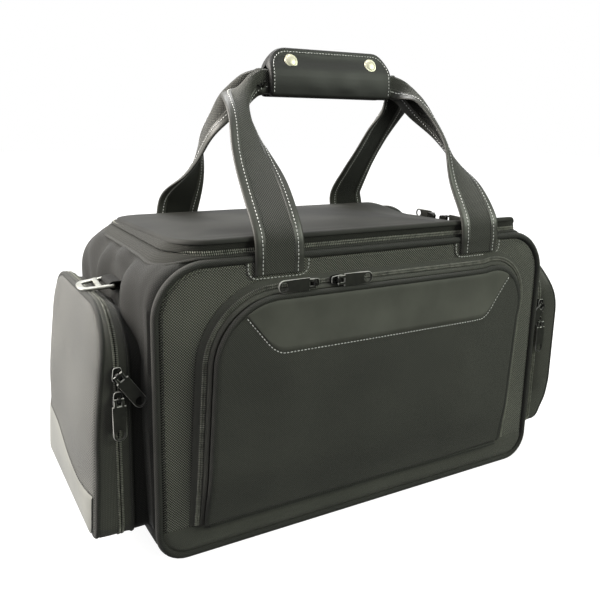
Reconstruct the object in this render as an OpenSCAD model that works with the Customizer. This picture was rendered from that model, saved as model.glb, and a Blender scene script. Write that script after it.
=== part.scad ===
// Soft-sided carry bag: a padded box with a zipped lid, a front pocket, two end pockets,
// and two strap handles that meet in a snapped grip.
// Frame: +X to the bag's right, -Y to its front, +Z up, origin at the centre of the base. Millimetres.

/* [Body] */
// Width of the body from end to end
body_w = 464; // [420:1:540]
// Depth of the body from front to back
body_d = 240; // [210:1:300]
// Height of the body up to the lid's zip
body_h = 280; // [270:1:330]
// Thickness of the padded walls
wall = 5; // [4:0.5:7]
// Radius of the upper corners, seen from the front
top_r = 50; // [40:1:60]
// Radius of the lower corners, seen from the front
base_r = 30; // [15:1:40]
// Height of the seam above the base
band_h = 32; // [28:1:50]
// Thickness of the lining cloth
lining_t = 1.2; // [0.8:0.1:2]
// Thickness of the lined floor board
board_t = 3; // [2:0.5:5]

/* [Lid] */
// Distance of the lid's ends from the body's ends
lid_end_inset = 21; // [16:1:30]
// Distance of the lid's front edge from the body's front
lid_front_inset = 6; // [4:0.5:15]
// Distance of the lid's back edge from the body's back
lid_back_inset = 14; // [13:0.5:20]
// Radius of the lid's corners, seen from above
lid_r = 38; // [25:1:50]
// Width of the zip tape that lies round the opening
lid_tape_w = 10; // [8:0.5:14]
// Height of the lower zip half above the body
lid_zip_h = 4; // [3:0.5:6]
// Height of the upper zip half
lid_band_h = 8.5; // [6:0.5:12]
// Thickness of the padded lid panel
lid_t = 4; // [3:0.5:8]
// How much lower the lid's top lies at its back edge than at its front edge
lid_fall = 7; // [0:0.5:7.5]

/* [Handles] */
// Width of the flat strap
strap_w = 50; // [40:1:56]
// Thickness of the flat strap
strap_t = 3; // [2:0.5:4]
// Twist of a strap between its foot and the grip
strap_twist = 40; // [0:5:50]
// Distance between the two feet of a handle
foot_spacing = 242; // [220:1:260]
// Sideways offset of the front handle and the grip
front_shift = 9; // [0:1:12]
// Distance of a strap foot above the front pocket's zip
foot_clear = 2; // [1:0.5:6]
// Width of the patch under a strap foot
patch_w = 66; // [62:1:80]
// Thickness of the patch
patch_t = 1.2; // [0.8:0.1:2]
// Height of the strap's hinge line above the body
pivot_rise = 3; // [2.5:0.5:6]
// Height of the folded strap's middle above the body
handle_rise = 154; // [140:1:180]
// Height of the folded strap inside the grip
web_h = 25; // [20:1:28]
// Thickness of the folded strap
web_t = 6.6; // [5:0.2:8]
// Length of the grip
grip_w = 152; // [130:1:170]
// Height of a grip leaf above the folded strap's top edge
grip_rise = 23.5; // [20:0.5:30]
// Thickness of a grip leaf beside the folded strap
leaf_t = 5; // [3:0.5:7]
// How far a grip leaf's belly stands out
leaf_belly = 1; // [0.4:0.1:2]
// Thickness of a grip leaf at its upper edge
leaf_edge_t = 3.8; // [2:0.2:5]
// Radius of the grip leaf's upper corners
leaf_r = 22; // [10:1:26]
// Distance between the two snaps
snap_spacing = 100; // [80:1:110]
// Height of the snaps above the folded strap's top edge
snap_rise = 10; // [8:0.5:12]
// Diameter of a snap cap
snap_d = 15; // [10:0.5:16]
// Height of a snap cap
snap_h = 2.4; // [1.5:0.1:4]
// Diameter of a snap stud
stud_d = 7; // [5:0.5:9]
// Height of a snap stud
stud_h = 1.6; // [1:0.1:2.5]

/* [Front pocket] */
// Distance of the cover's sides from the body's ends
front_side_inset = 44; // [34:1:70]
// Distance of the cover's upper edge below the body's top
front_cover_drop = 34; // [32:1:60]
// Radius of the cover's upper corners
front_cover_r = 60; // [30:1:64]
// Thickness of the padded cover
front_cover_t = 5; // [4:0.5:8]
// Clear depth between panel and cover
front_depth = 16; // [12:1:25]
// Depth of the fixed zip half
front_zip_d = 8; // [6:0.5:10]
// Width of the fixed zip half outside the cover
front_zip_w = 12; // [11.5:0.5:16]
// Width of the fixed zip half that reaches behind the cover
front_zip_lap = 4; // [2:0.5:8]
// Thickness of the pocket's floor strip
floor_t = 4; // [3:0.5:6]
// Thickness of the yoke and the end pocket trims
trim_t = 1.5; // [1:0.1:2.5]
// Height of the yoke from its lower edge to the cover's upper edge
yoke_h = 52; // [40:1:90]
// Distance of the yoke's outer corners below the cover's upper edge
yoke_drop = 14; // [8:1:30]
// Distance of the yoke's outer corners from the cover's sides
yoke_inset = 28; // [12:1:35]
// Sideways run of the yoke's slanting ends
yoke_slant = 32; // [20:1:60]

/* [End pockets] */
// Distance of an end pocket's sides from the body's front and back
end_side_inset = 20; // [16:1:40]
// Height of its lower edge above the base
end_bottom = 26; // [15:1:40]
// Distance of its upper edge below the body's top
end_drop = 40; // [38:1:70]
// Radius of its upper corners
end_r = 40; // [30:1:60]
// Radius of its lower corners
end_foot_r = 14; // [10:1:30]
// Depth of the fixed gusset
end_gusset_d = 24; // [15:1:40]
// Depth of the fixed zip half
end_zip_d = 3; // [2:0.5:5]
// Depth of the cover
end_cover_d = 18; // [10:1:20]
// Thickness of the gusset wall
end_wall = 4; // [3:0.5:6]
// Thickness of the cover's padded face
end_face_t = 6; // [5.5:0.5:8]
// Thickness of the cover's padded rim
end_rim = 7; // [6:0.5:9]
// Height of the trim at the foot of the cover
trim_h = 46; // [30:1:70]
// Dip in the middle of the trim's upper edge
trim_dip = 12; // [4:1:20]

/* [Piping] */
// Size of the piping round the panels and covers
piping = 5; // [3:0.5:5]

/* [Zip sliders] */
// Length of a slider
slider_l = 13; // [10:0.5:16]
// Width of a slider
slider_w = 10; // [8:0.5:11]
// Thickness of a slider
slider_t = 4.5; // [3:0.5:6]
// Diameter of the pull's bar
bar_d = 2; // [1.6:0.1:2.4]
// Width of the slider's bridge
bridge_w = 2.8; // [2:0.2:4]
// Thickness of the bridge round the bar
bridge_wall = 1.2; // [0.8:0.1:1.6]
// Distance from the bridge to the pull's plate
window_clear = 3.5; // [2:0.5:5]
// Width of the pull's plate beyond its arms on each side
arm_inset = 1.6; // [1:0.1:2]
// Length of a pull
pull_l = 38; // [25:1:45]
// Width of a pull
pull_w = 12; // [10:0.5:13]
// Thickness of a pull
pull_t = 1.8; // [1.2:0.1:2]
// Diameter of the hole in a pull
pull_hole = 5; // [3:0.5:6]
// Sideways lean of the upper pull on an end pocket
pull_lean = 35; // [30:1:40]
// Distance of the first lid slider from the middle of the lid's end
lid_slider_y = 30; // [0:1:32]
// Distance between the two lid sliders
lid_slider_pitch = 24; // [22:1:24]
// Distance of the first front slider from the middle of the bag
front_slider_x = 82; // [60:1:100]
// Distance between the two front sliders
front_slider_pitch = 26; // [22:1:40]
// Distance of the lower end-pocket slider below the pocket's upper edge
end_slider_drop = 78; // [75:1:120]
// Distance between the two sliders of an end pocket
end_slider_pitch = 22; // [20:0.5:24]

/* [Strap rings] */
// Width of the ring at its bar
ring_w = 38; // [34:1:50]
// Reach of the ring from its bar
ring_l = 30; // [26:1:50]
// Width of the ring's nose
ring_nose = 20; // [16:1:26]
// Diameter of the ring's bar and width of its sides
ring_wire = 4; // [3:0.5:5]
// Width of the web tab
tab_w = 26; // [20:1:26]
// Thickness of the web round the bar
tab_t = 1.5; // [1:0.1:2.5]
// Distance of the ring's bar from the body's end
ring_reach = 8; // [6:0.5:12]
// Distance of the ring in front of the middle of the end
ring_front = 20; // [0:1:30]

/* [Clearances] */
// Gap between bodies that move past each other
gap = 0.35; // [0.3:0.01:0.36]
// Gap under a piece that is seated on a curved wall
seat = 0.2; // [0.1:0.05:0.3]

/* [Hidden] */
$fn = 48;
EPS = 0.01;
FAR = 600;
FRONT = [90, 0, 0];
LEFT = [90, 0, -90];
RIGHT = [90, 0, 90];

half_w = body_w / 2;
half_d = body_d / 2;
flat_w = half_w - top_r;

lid_w = body_w - 2 * lid_end_inset;
lid_y0 = lid_front_inset - half_d;
lid_y1 = half_d - lid_back_inset;
collar_z = body_h + lid_zip_h;
lid_z = collar_z + gap;
lid_panel_z = lid_z + lid_band_h;
lid_lean = asin(lid_fall / (lid_y1 - lid_y0));

front_cover_w = body_w - 2 * front_side_inset;
front_cover_top = body_h - front_cover_drop;
yoke_top_w = front_cover_w - 2 * yoke_inset;
yoke_w = yoke_top_w - 2 * yoke_slant;
yoke_z = front_cover_top - yoke_h;
yoke_side_z = front_cover_top - yoke_drop;

strap_y = half_d + patch_t + strap_t / 2;
pivot_z = body_h + pivot_rise;
strap_end = pivot_z - strap_t / 2;
foot_top = pivot_z - strap_t * sqrt(2) / 2 - gap;
foot_bottom = front_cover_top + front_zip_w + foot_clear;
patch_bottom = front_cover_top + front_zip_w + gap;
web_z = body_h + handle_rise;
web_y = 3 * gap + web_t / 2;
web_top = web_z + web_h / 2;
leaf_in = web_y + web_t / 2 + gap;
leaf_out = leaf_in + leaf_t;
leaf_bottom = web_z - web_h / 2 - strap_t / 2;
leaf_top = web_top + grip_rise;
snap_z = web_top + snap_rise;
snap_x = snap_spacing / 2;

front_face = half_d + front_depth + front_cover_t;
front_slider_z = front_cover_top + gap + pull_w / 2 + gap;

end_w = body_d - 2 * end_side_inset;
end_top = body_h - end_drop;
end_slider_z = end_top - end_slider_drop;
end_zip_x = half_w + end_gusset_d;
end_cover_x = end_zip_x + end_zip_d + gap;
end_face = end_cover_x + end_cover_d;

bridge_r = bar_d / 2 + bridge_wall;
bar_z = slider_t + bridge_r + gap;
arm_w = (pull_w - bridge_w) / 2 - 2 * gap - arm_inset;
window_l = bridge_r + window_clear;

ring_x = half_w + ring_reach;
ring_z = end_top + ring_wire / 2 + tab_t + 2 * gap;

// Strap route from foot to grip, as shares of the sideways, inward and upward travel,
// with the turn of the strap's width, how far it is folded and its share of the twist.
STRAP = [
    [0, 0, 0, 0, 0, 0],
    [0, 0.04, 0.13, 0, 0, 0],
    [0, 0.15, 0.34, 0, 0.02, 0.08],
    [0.02, 0.36, 0.54, 4, 0.14, 0.65],
    [0.08, 0.57, 0.72, 14, 0.4, 1],
    [0.25, 0.77, 0.86, 40, 0.7, 0.8],
    [0.58, 0.94, 0.96, 72, 0.92, 0.3],
    [1, 1, 1, 90, 1, 0],
    [1.25, 1, 1, 90, 1, 0]
];
STRAP_STEPS = 4;

// Plane shapes and extrusions

// Rectangle with its own corner radius below and above
module rounded(x0, x1, y0, y1, r_low, r_high) {
    difference() {
        translate([x0, y0]) square([x1 - x0, y1 - y0]);
        for (x = [x0, x1 - r_low]) translate([x, y0]) square(r_low);
        for (x = [x0, x1 - r_high]) translate([x, y1 - r_high]) square(r_high);
    }
    for (x = [x0 + r_low, x1 - r_low]) translate([x, y0 + r_low]) circle(r_low);
    for (x = [x0 + r_high, x1 - r_high]) translate([x, y1 - r_high]) circle(r_high);
}

// A plane shape stood up in XZ and run from y0 to y1
module along_y(y0, y1) {
    rotate([90, 0, 0]) translate([0, 0, -y1]) linear_extrude(y1 - y0) children();
}

// A plane shape stood up in YZ and run from x0 to x1
module along_x(x0, x1) {
    rotate([90, 0, 90]) translate([0, 0, x0]) linear_extrude(x1 - x0) children();
}

// Everything with a height from z0 to z1
module slab(z0, z1) {
    translate([-FAR, -FAR, z0]) cube([2 * FAR, 2 * FAR, z1 - z0]);
}

// Everything on one side of the plane x = x0
module beyond(x0, side) {
    translate([side > 0 ? x0 : x0 - FAR, -FAR, -FAR]) cube([FAR, 2 * FAR, 2 * FAR]);
}

// Quarter-round piping in local XY, standing on Z = 0, outer edge on the outline
module quarter(s) {
    intersection() {
        circle(s);
        square(s);
    }
}

module piping_run(length, s) {
    translate([0, length, 0]) rotate([90, 0, 0]) linear_extrude(length) quarter(s);
}

module piping_corner(r, s) {
    rotate_extrude(angle = 90) translate([r - s, 0]) quarter(s);
}

// Piping up one side, over the top and down the other, from height y0
module piping_arch(x0, x1, y0, y1, r, s) {
    translate([x1 - s, y0]) piping_run(y1 - r - y0, s);
    translate([x1 - r, y1 - r]) piping_corner(r, s);
    translate([x1 - r, y1 - s]) rotate(90) piping_run(x1 - x0 - 2 * r, s);
    translate([x0 + r, y1 - r]) rotate(90) piping_corner(r, s);
    translate([x0 + s, y1 - r]) rotate(180) piping_run(y1 - r - y0, s);
}

// Piping all the way round
module piping_ring(x0, x1, y0, y1, r_low, r_high, s) {
    piping_arch(x0, x1, y0 + r_low, y1, r_high, s);
    translate([x0 + r_low, y0 + r_low]) rotate(180) piping_corner(r_low, s);
    translate([x0 + r_low, y0 + s]) rotate(-90) piping_run(x1 - x0 - 2 * r_low, s);
    translate([x1 - r_low, y0 + r_low]) rotate(-90) piping_corner(r_low, s);
}

// Body

module body_outline(inset) {
    rounded(inset - half_w, half_w - inset, inset, body_h - inset, base_r - inset, top_r - inset);
}

module body_solid(grow) {
    along_y(-half_d - grow, half_d + grow) body_outline(-grow);
}

module lid_outline(inset) {
    r = lid_r - inset;
    rounded(inset - lid_w / 2, lid_w / 2 - inset, lid_y0 + inset, lid_y1 - inset, r, r);
}

module opening() {
    translate([0, 0, body_h - top_r]) linear_extrude(FAR) lid_outline(lid_tape_w);
}

// The padded strip that runs round between the two panels
module gusset_loop() {
    along_y(wall - half_d, half_d - wall) difference() {
        body_outline(0);
        body_outline(wall);
    }
}

module gusset(side) {
    color("#2b2b2d") difference() {
        intersection() {
            gusset_loop();
            slab(band_h, FAR);
            beyond(0, side);
        }
        translate([-flat_w, -FAR, body_h - wall - EPS]) cube([2 * flat_w, 2 * FAR, 2 * wall]);
        opening();
    }
}

module bottom_band() {
    color("#262628") intersection() {
        gusset_loop();
        slab(-EPS, band_h);
    }
}

module left_gusset() {
    gusset(-1);
}

module right_gusset() {
    gusset(1);
}

module top_strips() {
    color("#2b2b2d") difference() {
        translate([-flat_w, wall - half_d, body_h - wall]) cube([2 * flat_w, body_d - 2 * wall, wall]);
        opening();
    }
}

module front_panel() {
    color("#2f2f31") along_y(-half_d, wall - half_d) body_outline(piping);
}

module back_panel() {
    color("#2f2f31") along_y(half_d - wall, half_d) body_outline(piping);
}

// The bead stands on the gusset's end and fills the corner that the panel leaves
module panel_piping() {
    translate([0, piping - half_d, 0]) rotate(FRONT)
        piping_ring(-half_w, half_w, 0, body_h, base_r, top_r, piping);
}

module front_piping() {
    color("#1b1b1d") translate([0, wall - piping, 0]) panel_piping();
}

module back_piping() {
    color("#1b1b1d") mirror([0, 1, 0]) translate([0, wall - piping, 0]) panel_piping();
}

module lining() {
    inside_d = half_d - wall;
    color("#3a3d44") difference() {
        along_y(-inside_d, inside_d) body_outline(wall);
        along_y(lining_t - inside_d, inside_d - lining_t) body_outline(wall + lining_t);
        slab(-EPS, wall + board_t);
        opening();
    }
}

module floor_board() {
    board_w = half_w - base_r;
    board_d = half_d - wall;
    color("#3a3d44") translate([-board_w, -board_d, wall]) cube([2 * board_w, 2 * board_d, board_t]);
}

// Lid

module lid_ring(z0, z1) {
    translate([0, 0, z0]) linear_extrude(z1 - z0) difference() {
        lid_outline(0);
        lid_outline(lid_tape_w);
    }
}

module lid_zip() {
    color("#1d1d1f") difference() {
        lid_ring(body_h - top_r, collar_z);
        body_solid(seat);
    }
}

// A slab over the lid's band that falls towards the back
module lid_slab(inset, thickness) {
    translate([0, lid_y0, lid_panel_z]) rotate([-lid_lean, 0, 0]) translate([0, -lid_y0, 0])
        linear_extrude(thickness) lid_outline(inset);
}

module lid_band() {
    color("#1d1d1f") difference() {
        lid_ring(lid_z, lid_panel_z);
        lid_slab(-lid_t, 2 * lid_band_h);
    }
}

module lid_panel() {
    color("#3b3a3a") lid_slab(0, lid_t);
}

// Handles

function mix(a, b, t) = a + (b - a) * t;
function unit(v) = v / norm(v);

// One station of a handle strap: centre, width direction, width and thickness
function station(s, side, foot_x, grip_x, twist) = let (
    reach = grip_w / 2 + web_t,
    flat = -side * cos(s[3]),
    x = mix(foot_x + side * foot_spacing / 2, grip_x + side * reach, s[0]),
    y = mix(-strap_y, -web_y, s[1]),
    z = mix(strap_end, web_z, s[2])
) [
    [x, y, z],
    [flat * cos(twist * s[5]), flat * sin(twist * s[5]), -sin(s[3])],
    mix(strap_w, web_h, s[4]),
    mix(strap_t, web_t, s[4])
];

function route(foot_x, grip_x, twist) = concat(
    [for (s = STRAP) station(s, -1, foot_x, grip_x, twist)],
    [for (i = [len(STRAP) - 1 : -1 : 0]) station(STRAP[i], 1, foot_x, grip_x, twist)]
);

// A smooth curve through four stations in turn
function curve(a, b, c, d, t) =
    b + ((c - a) * t + (2 * a - 5 * b + 4 * c - d) * t * t + (3 * b - a - 3 * c + d) * t * t * t) / 2;

function smooth(r) = let (n = len(r)) concat(
    [for (i = [0 : n - 2], k = [0 : STRAP_STEPS - 1]) [for (j = [0 : 3])
        curve(r[max(i - 1, 0)][j], r[i][j], r[i + 1][j], r[min(i + 2, n - 1)][j], k / STRAP_STEPS)]],
    [r[n - 1]]
);

// The four corners of the strap's section at station i
function section(r, i) = let (
    n = len(r),
    along = unit(r[min(i + 1, n - 1)][0] - r[max(i - 1, 0)][0]),
    out = unit(cross(along, r[i][1])),
    across = cross(out, along) * r[i][2] / 2,
    thick = out * r[i][3] / 2
) [for (c = [[-1, -1], [1, -1], [1, 1], [-1, 1]]) r[i][0] + c[0] * across + c[1] * thick];

module ribbon(r) {
    n = len(r);
    points = [for (i = [0 : n - 1]) each section(r, i)];
    sides = [for (i = [0 : n - 2], k = [0 : 3]) let (
        a = 4 * i + k,
        b = 4 * i + (k + 1) % 4
    ) each [[a, b, b + 4], [a, b + 4, a + 4]]];
    last = 4 * n - 4;
    ends = [[0, 2, 1], [0, 3, 2], [last, last + 1, last + 2], [last, last + 2, last + 3]];
    polyhedron(points, [for (f = concat(sides, ends)) [f[2], f[1], f[0]]]);
}

module patches(shift) {
    for (side = [-1, 1])
        translate([shift + side * foot_spacing / 2 - patch_w / 2, -half_d - patch_t, patch_bottom])
            cube([patch_w, patch_t, body_h - piping - patch_bottom]);
}

module feet(shift) {
    for (side = [-1, 1])
        translate([shift + side * foot_spacing / 2 - strap_w / 2, -strap_y - strap_t / 2, foot_bottom])
            cube([strap_w, strap_t, foot_top - foot_bottom]);
}

// The leaf's section across the grip, as distance from the grip's middle plane and height
module leaf_section() {
    polygon([
        [-leaf_out, leaf_bottom],
        [-leaf_out - leaf_belly, web_z - leaf_t / 2],
        [-leaf_out, web_top],
        [-leaf_edge_t, leaf_top],
        [-gap / 2, leaf_top],
        [-gap / 2, web_top + leaf_t],
        [-leaf_in, web_top + gap],
        [-leaf_in, leaf_bottom]
    ]);
}

module leaf() {
    intersection() {
        along_x(front_shift - grip_w / 2, front_shift + grip_w / 2) leaf_section();
        along_y(-FAR, FAR) translate([front_shift, 0])
            rounded(-grip_w / 2, grip_w / 2, leaf_bottom - EPS, leaf_top + EPS, leaf_t, leaf_r);
    }
}

// A disc on the leaf's sloping face or inside it
module at_snaps(y) {
    for (x = [-snap_x, snap_x])
        translate([front_shift + x, y, snap_z]) rotate([90, 0, 0]) children();
}

function leaf_face(z) = mix(leaf_out, leaf_edge_t, (z - web_top) / grip_rise);

module front_patches() {
    color("#242426") patches(front_shift);
}

module back_patches() {
    color("#242426") mirror([0, 1, 0]) patches(0);
}

module front_feet() {
    color("#232325") feet(front_shift);
}

module back_feet() {
    color("#232325") mirror([0, 1, 0]) feet(0);
}

module front_strap() {
    color("#232325") ribbon(smooth(route(front_shift, front_shift, strap_twist)));
}

module back_strap() {
    color("#232325") mirror([0, 1, 0]) ribbon(smooth(route(0, front_shift, -strap_twist)));
}

module grip_front() {
    color("#343434") difference() {
        leaf();
        at_snaps(EPS) cylinder(d = stud_d + 4 * gap, h = stud_h + gap);
        at_snaps(-leaf_face(snap_z + snap_d / 2)) cylinder(d = snap_d, h = FAR);
    }
}

module grip_back() {
    color("#343434") mirror([0, 1, 0]) leaf();
}

// Each cap fills the flat seat cut into the sloping leaf and stands out from it
module snap_caps() {
    face = leaf_face(snap_z + snap_d / 2);
    color("#d9d6cc") at_snaps(-face)
        cylinder(d1 = snap_d - gap, d2 = snap_d - snap_h, h = leaf_face(snap_z) - face + snap_h);
}

module snap_studs() {
    color("#d9d6cc") at_snaps(gap / 2) cylinder(d = stud_d, h = stud_h);
}

// Front pocket

module front_outline(grow, bottom) {
    x = front_cover_w / 2 + grow;
    difference() {
        rounded(-x, x, bottom - FAR, front_cover_top + grow, EPS, front_cover_r + grow);
        translate([-FAR, bottom - 2 * FAR]) square([2 * FAR, 2 * FAR]);
    }
}

module front_zip() {
    color("#1d1d1f") along_y(-half_d - front_zip_d, -half_d) difference() {
        front_outline(front_zip_w, band_h);
        front_outline(-front_zip_lap, band_h - EPS);
    }
}

module front_floor() {
    x = front_cover_w / 2 - front_zip_lap - gap;
    color("#2b2b2d") translate([-x, -half_d - front_depth, band_h - floor_t])
        cube([2 * x, front_depth, floor_t]);
}

module front_cover() {
    inner = half_d + front_depth;
    color("#2f2f31") union() {
        along_y(-front_face, -inner) front_outline(-piping, band_h + gap);
        along_y(-front_face + piping, -inner + front_cover_t / 2) front_outline(0, band_h + gap);
    }
}

module front_cover_piping() {
    x = front_cover_w / 2;
    color("#1b1b1d") translate([0, piping - front_face, 0]) rotate(FRONT)
        piping_arch(-x, x, band_h + gap, front_cover_top, front_cover_r, piping);
}

// Leather-look yoke: the cover's own upper outline over a straight lower edge with two slanting ends
module front_yoke() {
    color("#3b3a3a") along_y(-front_face - trim_t, -front_face) intersection() {
        front_outline(-piping, band_h + gap);
        polygon([
            [-yoke_top_w / 2, FAR],
            [-yoke_top_w / 2, yoke_side_z],
            [-yoke_w / 2, yoke_z],
            [yoke_w / 2, yoke_z],
            [yoke_top_w / 2, yoke_side_z],
            [yoke_top_w / 2, FAR]
        ]);
    }
}

// End pockets, drawn at the left end and mirrored for the right

module end_outline(inset) {
    rounded(inset - end_w / 2, end_w / 2 - inset, end_bottom + inset, end_top - inset,
        end_foot_r - inset, end_r - inset);
}

module end_pocket() {
    color("#2b2b2d") difference() {
        along_x(-end_zip_x, top_r - half_w) difference() {
            end_outline(0);
            end_outline(end_wall);
        }
        body_solid(seat);
    }
}

module end_zip() {
    color("#1d1d1f") along_x(-end_zip_x - end_zip_d, -end_zip_x) difference() {
        end_outline(0);
        end_outline(end_wall);
        translate([-FAR, -FAR]) square([2 * FAR, FAR + end_bottom + end_foot_r]);
    }
}

module end_cover() {
    color("#2f2f31") union() {
        along_x(piping - end_face, -end_cover_x) difference() {
            end_outline(0);
            end_outline(end_rim);
        }
        along_x(-end_face, end_face_t - end_face) end_outline(piping);
    }
}

module end_cover_piping() {
    color("#1b1b1d") translate([piping - end_face, 0, 0]) rotate(LEFT)
        piping_ring(-end_w / 2, end_w / 2, end_bottom, end_top, end_foot_r, end_r, piping);
}

// Trim at the cover's foot; its upper edge is an arc that dips in the middle
module end_trim() {
    chord = end_w / 2 - piping;
    arc_r = (chord * chord + trim_dip * trim_dip) / (2 * trim_dip);
    top = end_bottom + trim_h;
    color("#3b3a3a") along_x(-end_face - trim_t, -end_face) difference() {
        end_outline(piping);
        translate([-FAR, top]) square([2 * FAR, FAR]);
        translate([0, top - trim_dip + arc_r]) circle(arc_r, $fn = 160);
    }
}

module left_pocket() {
    end_pocket();
}

module left_zip() {
    end_zip();
}

module left_cover() {
    end_cover();
}

module left_cover_piping() {
    end_cover_piping();
}

module left_trim() {
    end_trim();
}

module right_pocket() {
    mirror([1, 0, 0]) end_pocket();
}

module right_zip() {
    mirror([1, 0, 0]) end_zip();
}

module right_cover() {
    mirror([1, 0, 0]) end_cover();
}

module right_cover_piping() {
    mirror([1, 0, 0]) end_cover_piping();
}

module right_trim() {
    mirror([1, 0, 0]) end_trim();
}

// Zip sliders and pulls, drawn lying on Z = 0 with the zip along X

module slider(bridge_turn) {
    color("#1a1a1c") {
        translate([-slider_l / 2, -slider_w / 2, 0]) cube([slider_l, slider_w, slider_t]);
        rotate(bridge_turn) difference() {
            union() {
                translate([-bridge_r, -bridge_w / 2, slider_t - EPS])
                    cube([2 * bridge_r, bridge_w, bar_z - slider_t + EPS]);
                translate([0, bridge_w / 2, bar_z]) rotate([90, 0, 0]) cylinder(r = bridge_r, h = bridge_w);
            }
            translate([0, FAR / 2, bar_z]) rotate([90, 0, 0]) cylinder(d = bar_d + gap, h = FAR);
        }
    }
}

// The pull lies along +X from its bar
module pull() {
    arm_y = bridge_w / 2 + 2 * gap;
    color("#19191b") {
        translate([0, arm_y + arm_w, bar_z]) rotate([90, 0, 0])
            cylinder(d = bar_d, h = 2 * (arm_y + arm_w));
        translate([0, 0, bar_z - pull_t / 2]) linear_extrude(pull_t) difference() {
            union() {
                for (y = [arm_y, -arm_y - arm_w]) translate([0, y]) square([window_l + EPS, arm_w]);
                translate([window_l, -pull_w / 2]) square([pull_l - window_l - pull_w / 2, pull_w]);
                translate([pull_l - pull_w / 2, 0]) circle(d = pull_w);
            }
            translate([pull_l - pull_w / 2, 0]) circle(d = pull_hole);
        }
    }
}

module seated(place, face, turn) {
    translate(place) rotate(face) rotate([0, 0, turn]) children();
}

function lid_seat(i) = [lid_w / 2 + gap, lid_slider_y + i * lid_slider_pitch, collar_z - slider_w / 2];
function front_seat(i) =
    [i * front_slider_pitch - front_slider_x, -half_d - front_zip_d - gap, front_slider_z];
function end_seat(i) = [-end_zip_x - end_zip_d / 2, -end_w / 2 - gap, end_slider_z + i * end_slider_pitch];

module lid_slider_a() {
    seated(lid_seat(0), RIGHT, 180) slider(0);
}

module lid_slider_b() {
    seated(lid_seat(1), RIGHT, 0) slider(0);
}

module lid_pull_a() {
    seated(lid_seat(0), RIGHT, 180) pull();
}

module lid_pull_b() {
    seated(lid_seat(1), RIGHT, 0) pull();
}

module front_slider_a() {
    seated(front_seat(0), FRONT, 180) slider(0);
}

module front_slider_b() {
    seated(front_seat(1), FRONT, 0) slider(0);
}

module front_pull_a() {
    seated(front_seat(0), FRONT, 180) pull();
}

module front_pull_b() {
    seated(front_seat(1), FRONT, 0) pull();
}

// The upper slider's bridge and pull lean sideways, so that its pull hangs beside the lower slider
module left_slider_a() {
    seated(end_seat(1), FRONT, -90) slider(pull_lean);
}

module left_slider_b() {
    seated(end_seat(0), FRONT, -90) slider(0);
}

module left_pull_a() {
    seated(end_seat(1), FRONT, pull_lean - 90) pull();
}

module left_pull_b() {
    seated(end_seat(0), FRONT, -90) pull();
}

module right_slider_a() {
    mirror([1, 0, 0]) left_slider_a();
}

module right_slider_b() {
    mirror([1, 0, 0]) left_slider_b();
}

module right_pull_a() {
    mirror([1, 0, 0]) left_pull_a();
}

module right_pull_b() {
    mirror([1, 0, 0]) left_pull_b();
}

// Strap rings and their web tabs, drawn at the left end

module tab() {
    loop_r = ring_wire / 2 + gap + tab_t;
    color("#1f1f21") difference() {
        union() {
            translate([-ring_x, -tab_w / 2, ring_z - loop_r])
                cube([ring_reach + top_r / 2, tab_w, 2 * loop_r]);
            translate([-ring_x, tab_w / 2, ring_z]) rotate([90, 0, 0]) cylinder(r = loop_r, h = tab_w);
        }
        translate([-ring_x, FAR / 2, ring_z]) rotate([90, 0, 0]) cylinder(d = ring_wire + 2 * gap, h = FAR);
        body_solid(seat);
    }
}

module ring() {
    r = ring_wire / 2;
    hole_w = ring_w / 2 - ring_wire;
    hole_nose = ring_nose / 2 - ring_wire;
    color("#c9c9c6") translate([-ring_x, 0, ring_z]) rotate(180) {
        translate([0, hole_w + r, 0]) rotate([90, 0, 0]) cylinder(r = r, h = 2 * (hole_w + r));
        translate([0, 0, -r]) linear_extrude(ring_wire) difference() {
            polygon([[-r, -ring_w / 2], [ring_l, -ring_nose / 2],
                [ring_l, ring_nose / 2], [-r, ring_w / 2]]);
            polygon([[-ring_wire, -hole_w], [r, -hole_w], [ring_l - ring_wire, -hole_nose],
                [ring_l - ring_wire, hole_nose], [r, hole_w], [-ring_wire, hole_w]]);
        }
    }
}

module left_tab() {
    translate([0, -ring_front, 0]) tab();
}

module left_ring() {
    translate([0, -ring_front, 0]) ring();
}

module right_tab() {
    mirror([1, 0, 0]) left_tab();
}

module right_ring() {
    mirror([1, 0, 0]) left_ring();
}

bottom_band();
left_gusset();
right_gusset();
top_strips();
front_panel();
back_panel();
front_piping();
back_piping();
lining();
floor_board();
lid_zip();
lid_band();
lid_panel();
front_patches();
back_patches();
front_feet();
back_feet();
front_strap();
back_strap();
grip_front();
grip_back();
snap_caps();
snap_studs();
front_zip();
front_floor();
front_cover();
front_cover_piping();
front_yoke();
left_pocket();
left_zip();
left_cover();
left_cover_piping();
left_trim();
right_pocket();
right_zip();
right_cover();
right_cover_piping();
right_trim();
lid_slider_a();
lid_slider_b();
lid_pull_a();
lid_pull_b();
front_slider_a();
front_slider_b();
front_pull_a();
front_pull_b();
left_slider_a();
left_slider_b();
left_pull_a();
left_pull_b();
right_slider_a();
right_slider_b();
right_pull_a();
right_pull_b();
left_tab();
left_ring();
right_tab();
right_ring();
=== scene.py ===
"""Soft-sided carry bag: cloth, leather-look trim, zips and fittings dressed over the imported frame."""
import math

import bmesh
import bpy
import numpy as np
from mathutils import Matrix, Vector


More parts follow.
